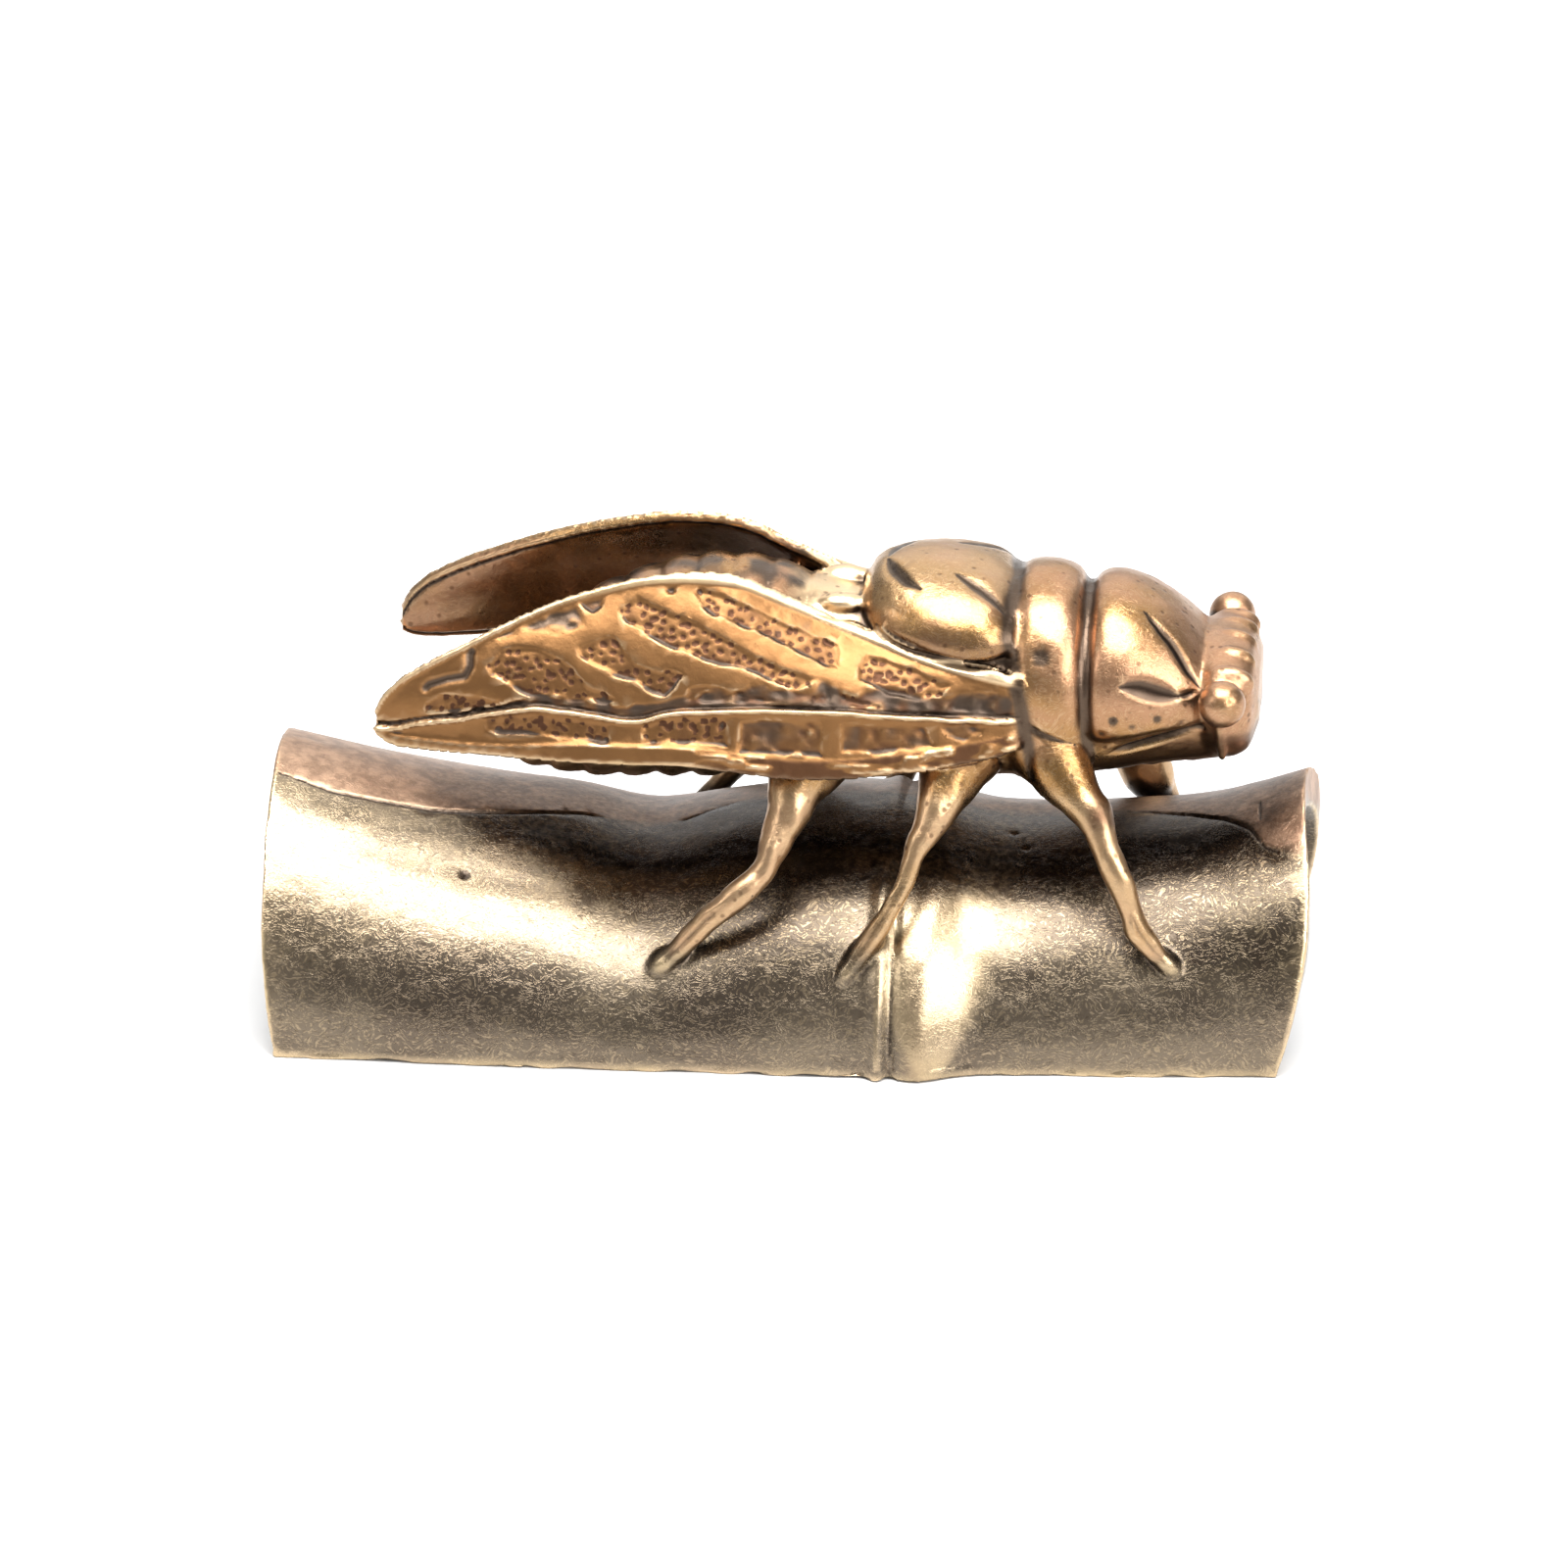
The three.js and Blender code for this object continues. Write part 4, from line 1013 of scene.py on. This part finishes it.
def finish_masks(mesh):
    """Patina, wear, metal tone, painted shade and painted highlights for the material, from the relief and
    the shelter.
    """
    working = ("dirt", "fine", "broad", "base", "inner", "pits", "strip", "wing", "rim")
    dirt, fine, broad, base, inner, pits, strip, wing_face, rim = (
        read(mesh.attributes[n].data, "value", 1).astype(float) for n in working)
    x, y, z = points_of(mesh).T
    near, far = shelter(mesh)
    # Soot stays in the hollows, with painted shade added where metal stands close in front; the raised and
    # outer places are rubbed bright, and a few are brightened further as painted highlights.
    hollow_and_shade = np.maximum(dirt, 0.8 * (1 - base) * step(0.015, 0.08, fine) * (pits < 0.2))
    hollow_and_shade = np.maximum(hollow_and_shade, 0.7 * step(0.04, 0.18, broad))
    # Darker where metal stands close in front, at the feet and wing roots: patina, partly painted shade.
    hollow_and_shade = np.maximum(hollow_and_shade, 0.75 * step(0.3, 0.6, near) * (1 - 0.8 * inner)) * (1 - 0.8 * rim)
    wear_and_highlights = (1 - base) * step(0.012, 0.05, -fine) * (1 - step(0.25, 0.45, near))
    wear_and_highlights = np.maximum(0.6 * wear_and_highlights, base * 0.8 * step(0.05, 0.16, -broad))
    wear_and_highlights = np.maximum(wear_and_highlights, 0.4 * (1 - base) * step(0.08, 0.25, -broad))
    legs = (1 - base) * step(HIP_LEVEL, 11.8, z)
    # Rubbed bright on the dome between the wings, and placed there as a painted highlight.
    dome_wear_and_highlight = (1 - base) * step(-0.6, 0.6, x) * step(3.4, 2.6, x) * step(17.4, 18, z)
    dome_wear_and_highlight *= step(3.4, 2.6, np.abs(y))
    edge = base * step(0.5, 0.15, z)
    # The rubbed place right of the growth node, shaped as a painted highlight.
    middle, foot, wider, widest, top = NODE_WEAR_AND_HIGHLIGHT
    node_wear_and_highlight = base * step(1.3, 0.7, np.abs(x - middle) / np.minimum(foot + wider * z, widest))
    node_wear_and_highlight *= step(top + 0.6, top - 0.6, z)
    on_shield = (1 - base) * (1 - wing_face) * step(2.6, 3.2, x) * step(9.8, 9.2, x)
    # Rubbed bright on the shield's crown, and placed there as a painted highlight.
    crown_wear_and_highlight = on_shield * step(19, 19.7, z) * step(3.6, 2.6, np.abs(y))
    for place, share in ((rim, 0.95), (legs, 0.3), (dome_wear_and_highlight, 0.8), (edge, 0.4), (node_wear_and_highlight, 0.5),
                         (crown_wear_and_highlight, 0.18)):
        wear_and_highlights = np.maximum(wear_and_highlights, share * place)
    # Painted shade and dark reflection, over some patina: a darker film where the cicada hangs over the
    # metal, on the wings' inner faces and on the sides under the neck plate.
    between_wings = (1 - base) * step(16, 17.5, z)
    overhang_shade = base * step(0.05, 0.24, far) + (1 - base) * (1 - 0.5 * legs) * step(0.18, 0.42, far)
    shade = (1 - 0.6 * between_wings) * (1 - 0.25 * strip) * overhang_shade * (1 - inner)
    # Painted shade on the wings' inner faces and on the sides under the neck plate.
    shade = np.maximum(shade, 0.55 * inner)
    # Painted shade on the lower part of the shield, below its highlight.
    shade = np.maximum(shade, 0.65 * on_shield * step(19.3, 18.5, z) * step(16.9, 17.3, z))
    # Painted shade on the bamboo's upper flank, darker where its band of highlight is dimmer.
    painted_flank_shade = base * (1 - through(UPPER_FLANK_UNSHADED)(x)[:, 0]) * step(3.5, 5.5, z)
    for name in working:
        mesh.attributes.remove(mesh.attributes[name])
    keep_on_points(mesh, {"hollow_and_shade": hollow_and_shade, "wear_and_highlights": wear_and_highlights * (1 - hollow_and_shade), "shade": shade, "bamboo": base,
                          "pitted": pits, "strip": strip, "wing_face": wing_face, "painted_flank_shade": painted_flank_shade})


def cast_figurine(finish):
    """The whole figurine as one skin in metres, inside the box of the CAD."""
    thing = fused([bamboo()] + cicada(finish))
    kept = press_relief(thing)
    mesh = thinned(thing, kept)
    finish_masks(mesh)
    points = read(mesh.vertices, "co", 3) * MM
    move_points(mesh, np.clip(points, np.array(cad_box[0]), np.array(cad_box[1])))
    mesh.polygons.foreach_set("use_smooth", np.ones(len(mesh.polygons), bool))
    mesh.update()
    mesh.materials.clear()
    mesh.materials.append(finish)
    return thing


# Finish.

NOISE, MATHS, VECTORS = "ShaderNodeTexNoise", "ShaderNodeMath", "ShaderNodeVectorMath"
RANGE, MIX = "ShaderNodeMapRange", "ShaderNodeMix"
EASED = {"interpolation_type": "SMOOTHSTEP"}
COLOUR = {"data_type": "RGBA"}
TIMES, TIMES_PLUS = {"operation": "MULTIPLY"}, {"operation": "MULTIPLY_ADD"}
LARGER = {"operation": "MAXIMUM"}


def linear(hex_colour):
    """An sRGB hex colour as linear light."""
    parts = [int(hex_colour[i : i + 2], 16) / 255 for i in (1, 3, 5)]
    return [p / 12.92 if p <= 0.04045 else ((p + 0.055) / 1.055) ** 2.4 for p in parts] + [1]


def antique_cast_brass():
    """Cast brass, darkened with liver of sulphur and rubbed back: polished gold on the high places, an
    olive-brown film on the even ones, near-black in the hollows, with fine scratches from the rubbing.
    Painted shade darkens it under the cicada, on the wings' inner faces, low on the shield and along the
    bamboo's upper flank, and painted highlights brighten a few rubbed places."""
    material = bpy.data.materials.new("antique_cast_brass")
    material.use_nodes = True
    tree = material.node_tree
    tree.nodes.clear()
    place = add(tree, "ShaderNodeTexCoord").outputs["Object"]
    hollow_and_shade, wear_and_highlights, shade, on_bamboo, pitted, strip, wing_face, painted_flank_shade = (
        add(tree, "ShaderNodeAttribute", {"attribute_name": name}).outputs["Fac"]
        for name in ("hollow_and_shade", "wear_and_highlights", "shade", "bamboo", "pitted", "strip", "wing_face", "painted_flank_shade"))

    # Patches of patina 5 mm across, mottles of 0.8 mm, flecks of 0.3 mm, and a grain of 0.08 mm.
    patch_sizes = ((5, 3, 0.55), (0.77, 4, 0.65), (0.29, 3, 0.6), (0.083, 2, 0.7))
    patch_noise = [{"Scale": 1 / (size * MM), "Detail": detail, "Roughness": rough}
                   for size, detail, rough in patch_sizes]
    cloud, mottle, fleck, grain = (
        add(tree, NOISE, noise, Vector=place).outputs[0] for noise in patch_noise)
    # Rubbing hairs that curl every way, most on the bamboo and none on the wings. Real ones are about
    # 0.03 mm wide, these are drawn 0.08 mm wide so that they show.
    on_body = add(tree, RANGE, Value=wing_face, To_Min=0.6, To_Max=0).outputs[0]
    haired = add(tree, MATHS, LARGER, i0=on_bamboo, i1=on_body).outputs[0]
    curl = add(tree, NOISE, {"Scale": 0.9 / MM, "Detail": 1.0}, Vector=place).outputs["Color"]
    centred = add(tree, VECTORS, {"operation": "SUBTRACT"}, i0=curl, i1=(0.5, 0.5, 0.5)).outputs[0]
    shifted = add(tree, VECTORS, TIMES_PLUS, i0=centred, i1=(1.6 * MM,) * 3, i2=place).outputs[0]
    strands = []
    for turn, low in ((0.7, 0.57), (-0.5, 0.57), (1.6, 0.6)):
        lie = {"Rotation": (turn, turn, turn * 0.6), "Scale": (0.25, 1.0, 1.0)}
        mapped = add(tree, "ShaderNodeMapping", lie, Vector=shifted).outputs[0]
        thread = add(tree, NOISE, {"Scale": 12 / MM, "Detail": 1.0}, Vector=mapped).outputs[0]
        strand = add(tree, RANGE, EASED, Value=thread, From_Min=low, From_Max=low + 0.1).outputs[0]
        strands.append(add(tree, MATHS, TIMES, i0=strand, i1=haired).outputs[0])
    hairs = add(tree, MATHS, LARGER, i0=strands[0], i1=strands[1]).outputs[0]
    scores = strands[2]
    # Casting pores of the insect's body and legs, about 0.2 mm across, in most cells of a 0.65 mm mesh.
    cells = add(tree, "ShaderNodeTexVoronoi", {"Scale": 1 / (0.65 * MM)}, Vector=place)
    chosen = add(tree, MATHS, {"operation": "GREATER_THAN"}, i0=cells.outputs["Color"], i1=0.35).outputs[0]
    hole = add(tree, RANGE, EASED, Value=cells.outputs["Distance"], From_Min=0.24, From_Max=0.08).outputs[0]
    opened = add(tree, MATHS, TIMES, i0=chosen, i1=hole).outputs[0]
    off_wings = add(tree, MATHS, TIMES, i0=opened, i1=on_body).outputs[0]
    on_insect = add(tree, MATHS, {"operation": "SUBTRACT"}, i0=1.0, i1=on_bamboo).outputs[0]
    pores = add(tree, MATHS, TIMES, i0=off_wings, i1=on_insect).outputs[0]

    # Bamboo: an olive-grey film low on the flank, rubbed through higher up.
    patches = add(tree, RANGE, EASED, Value=cloud, From_Min=0.38, From_Max=0.62).outputs[0]
    up = add(tree, "ShaderNodeSeparateXYZ", Vector=place).outputs["Z"]
    high = add(tree, RANGE, EASED, Value=up, From_Min=3 * MM, From_Max=6.5 * MM).outputs[0]
    spots = add(tree, RANGE, EASED, Value=mottle, From_Min=0.35, From_Max=0.65).outputs[0]
    thin = add(tree, RANGE, Value=spots, To_Min=0.15, To_Max=0.35).outputs[0]
    rubbed_through = add(tree, MATHS, TIMES, i0=high, i1=thin).outputs[0]
    low_film = add(tree, MIX, COLOUR, i0=patches, i6=linear("#675C50"), i7=linear("#776B5C")).outputs[2]
    bamboo_film = add(tree, MIX, COLOUR, i0=rubbed_through, i6=low_film, i7=linear("#9E8B6C")).outputs[2]
    # Painted shade on the upper flank: the film darkened towards near-black.
    bamboo_film = add(tree, MIX, COLOUR, i0=painted_flank_shade, i6=bamboo_film, i7=linear("#302A26")).outputs[2]
    # Insect: browner and rubbed more, the wings a duller gold.
    body_film = add(tree, MIX, COLOUR, i0=patches, i6=linear("#987449"), i7=linear("#A47D60")).outputs[2]
    blotch = add(tree, RANGE, EASED, Value=mottle, From_Min=0.5, From_Max=0.75, To_Max=0.5).outputs[0]
    for cover, tint in ((blotch, "#7C6044"), (wing_face, "#805C3A")):
        body_film = add(tree, MIX, COLOUR, i0=cover, i6=body_film, i7=linear(tint)).outputs[2]
    film = add(tree, MIX, COLOUR, i0=on_bamboo, i6=body_film, i7=bamboo_film).outputs[2]
    # Bright metal where it was rubbed, in hairs on the film and on all the high places, brighter still as
    # painted highlights on a few of them.
    polished = add(tree, MIX, COLOUR, i0=patches, i6=linear("#E0C6A2"), i7=linear("#DAC198")).outputs[2]
    bright_hairs = add(tree, MATHS, TIMES, i0=hairs, i1=0.24).outputs[0]
    film = add(tree, MIX, COLOUR, i0=bright_hairs, i6=film, i7=polished).outputs[2]
    dark_scores = add(tree, MATHS, TIMES, i0=scores, i1=0.35).outputs[0]
    film = add(tree, MIX, COLOUR, i0=dark_scores, i6=film, i7=linear("#3B2E24")).outputs[2]
    even = add(tree, RANGE, EASED, Value=mottle, From_Min=0.2, From_Max=0.5, To_Min=0.6).outputs[0]
    rubbed_and_highlit = add(tree, MATHS, TIMES, i0=wear_and_highlights, i1=even).outputs[0]
    colour = add(tree, MIX, COLOUR, i0=rubbed_and_highlit, i6=film, i7=polished).outputs[2]
    # The dull brown strip along the bamboo's crest, then painted shade as a darker film under the insect,
    # then the patina: brown in the pits, grey in the hollows, with painted shade where metal stands close in
    # front, and near-black soot at their bottom.
    dull = add(tree, MIX, COLOUR, i0=spots, i6=linear("#8E705B"), i7=linear("#B8957B")).outputs[2]
    dull_share = add(tree, MATHS, TIMES, i0=strip, i1=0.8).outputs[0]
    colour = add(tree, MIX, COLOUR, i0=dull_share, i6=colour, i7=dull).outputs[2]
    flecked = add(tree, RANGE, EASED, Value=fleck, From_Min=0.35, From_Max=0.65, To_Min=1, To_Max=0.7)
    shaded = add(tree, MATHS, TIMES, i0=shade, i1=flecked.outputs[0]).outputs[0]
    # Colour of the painted shade: warm brown on the cicada, near-black on the bamboo.
    painted_shade_film = add(tree, MIX, COLOUR, i0=on_bamboo, i6=linear("#7B604C"), i7=linear("#302A26")).outputs[2]
    colour = add(tree, MIX, COLOUR, i0=shaded, i6=colour, i7=painted_shade_film).outputs[2]
    brown = add(tree, RANGE, EASED, Value=pitted, From_Min=0.15, From_Max=0.75).outputs[0]
    brown = add(tree, MATHS, LARGER, i0=brown, i1=pores).outputs[0]
    grey = add(tree, RANGE, EASED, Value=hollow_and_shade, From_Min=0.1, From_Max=0.5, To_Max=0.9).outputs[0]
    soot = add(tree, RANGE, EASED, Value=hollow_and_shade, From_Min=0.5, From_Max=0.95, To_Max=0.95).outputs[0]
    for cover, tint in ((brown, "#4E3527"), (grey, "#4A4038"), (soot, "#1A120E")):
        colour = add(tree, MIX, COLOUR, i0=cover, i6=colour, i7=linear(tint)).outputs[2]

    # Roughness: each row adds a mask times a share.
    rough = add(tree, RANGE, EASED, Value=cloud, From_Min=0.3, From_Max=0.7, To_Min=0.2, To_Max=0.26)
    rough = rough.outputs[0]
    for cover, share in ((grain, 0.08), (on_insect, 0.03), (strip, 0.12), (soot, 0.2), (wing_face, 0.12),
                         (brown, 0.1)):
        rough = add(tree, MATHS, TIMES_PLUS, i0=cover, i1=share, i2=rough).outputs[0]

    # Height in millimetres: the uneven casting skin, the tooth of the rubbing, hairs, scores and pores.
    relief = add(tree, MATHS, TIMES, i0=mottle, i1=0.022).outputs[0]
    flecks = add(tree, MATHS, TIMES, i0=fleck, i1=on_insect).outputs[0]
    for cover, rise in ((grain, 0.0015), (fleck, 0.004), (flecks, 0.004), (hairs, -0.003), (scores, -0.003),
                        (pores, -0.012)):
        relief = add(tree, MATHS, TIMES_PLUS, i0=cover, i1=rise, i2=relief).outputs[0]
    bump = add(tree, "ShaderNodeBump", {"Strength": 1.0, "Distance": MM}, Height=relief).outputs[0]

    metal = add(tree, "ShaderNodeBsdfPrincipled", {"Metallic": 1.0}, Base_Color=colour, Roughness=rough,
                Normal=bump)
    add(tree, "ShaderNodeOutputMaterial", Surface=metal.outputs[0])
    return material


# Studio.


def studio():
    """Pale paper that sweeps up behind, a strong soft light overhead, weaker ones at the sides and back."""
    # Sizes in metres: half the width, where the bend starts, its radius, and the height at the back.
    half, bend_start, radius, back_height = 2.5, 0.6, 1.4, 2.4
    bend = np.linspace(0, math.pi / 2, 13)
    line = [(-half, 0.0)]
    line += [(bend_start + radius * math.sin(t), radius * (1 - math.cos(t))) for t in bend]
    line.append((line[-1][0], back_height))
    corners = np.array([[x, y, z] for y, z in line for x in (-half, half)])
    k = np.arange(len(line) - 1)[:, None] * 2
    floor = bpy.data.objects.new("floor", mesh_of("floor", corners, k + np.array([[0, 1, 3, 2]])))
    bpy.context.scene.collection.objects.link(floor)
    paper = bpy.data.materials.new("pale_matt_paper")
    paper.use_nodes = True
    sheet = paper.node_tree.nodes["Principled BSDF"]
    sheet.inputs["Base Color"].default_value = linear("#BABABA")
    sheet.inputs["Roughness"].default_value = 0.9
    floor.data.materials.append(paper)

    # Lamps: degrees round and up, metres away, size in metres, and watts.
    middle = Vector((0, 0, 0.01))
    for name, azimuth, elevation, distance, wide, tall, power in (
        ("overhead", 0, 82, 1.2, 1.1, 0.9, 43),
        ("left", -65, 30, 1.3, 0.3, 0.4, 2),
        ("right", 55, 30, 1.3, 1.1, 0.8, 20),
        ("behind", 180, 40, 1.0, 1.4, 0.8, 5),
    ):
        a, e = math.radians(azimuth), math.radians(elevation)
        way = Vector((math.sin(a) * math.cos(e), -math.cos(a) * math.cos(e), math.sin(e)))
        data = bpy.data.lights.new(name, "AREA")
        data.shape, data.size, data.size_y, data.energy = "RECTANGLE", wide, tall, power
        lamp = bpy.data.objects.new(name, data)
        lamp.location = middle + way * distance
        lamp.rotation_euler = way.to_track_quat("Z", "Y").to_euler()
        bpy.context.scene.collection.objects.link(lamp)

    world = bpy.data.worlds.new("studio")
    world.use_nodes = True
    sky = world.node_tree.nodes["Background"]
    sky.inputs["Color"].default_value = linear("#F4F2F0")
    sky.inputs["Strength"].default_value = 0.5
    bpy.context.scene.world = world
    bpy.context.scene.view_settings.view_transform = "Standard"


def camera():
    """At the photograph's angle: 4.5 degrees towards the head and 25 above the ground, 600 mm away."""
    azimuth, elevation, distance = math.radians(4.5), math.radians(25), 0.6
    target = Vector((-0.62, 0, 9.47)) * MM
    pixels_per_mm, picture = 23.2, 1600
    data = bpy.data.cameras.new("camera")
    data.sensor_width = 36
    data.lens = data.sensor_width * pixels_per_mm * distance / MM / picture
    eye = bpy.data.objects.new("camera", data)
    back = Vector((math.sin(azimuth) * math.cos(elevation), -math.cos(azimuth) * math.cos(elevation),
                   math.sin(elevation)))
    eye.location = target + back * distance
    eye.rotation_euler = back.to_track_quat("Z", "Y").to_euler()
    data.clip_start, data.clip_end = 0.01, 20
    bpy.context.scene.collection.objects.link(eye)
    bpy.context.scene.camera = eye


figurine = cast_figurine(antique_cast_brass())
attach(figurine, "root")
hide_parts("cicada_on_bamboo")
studio()
camera()
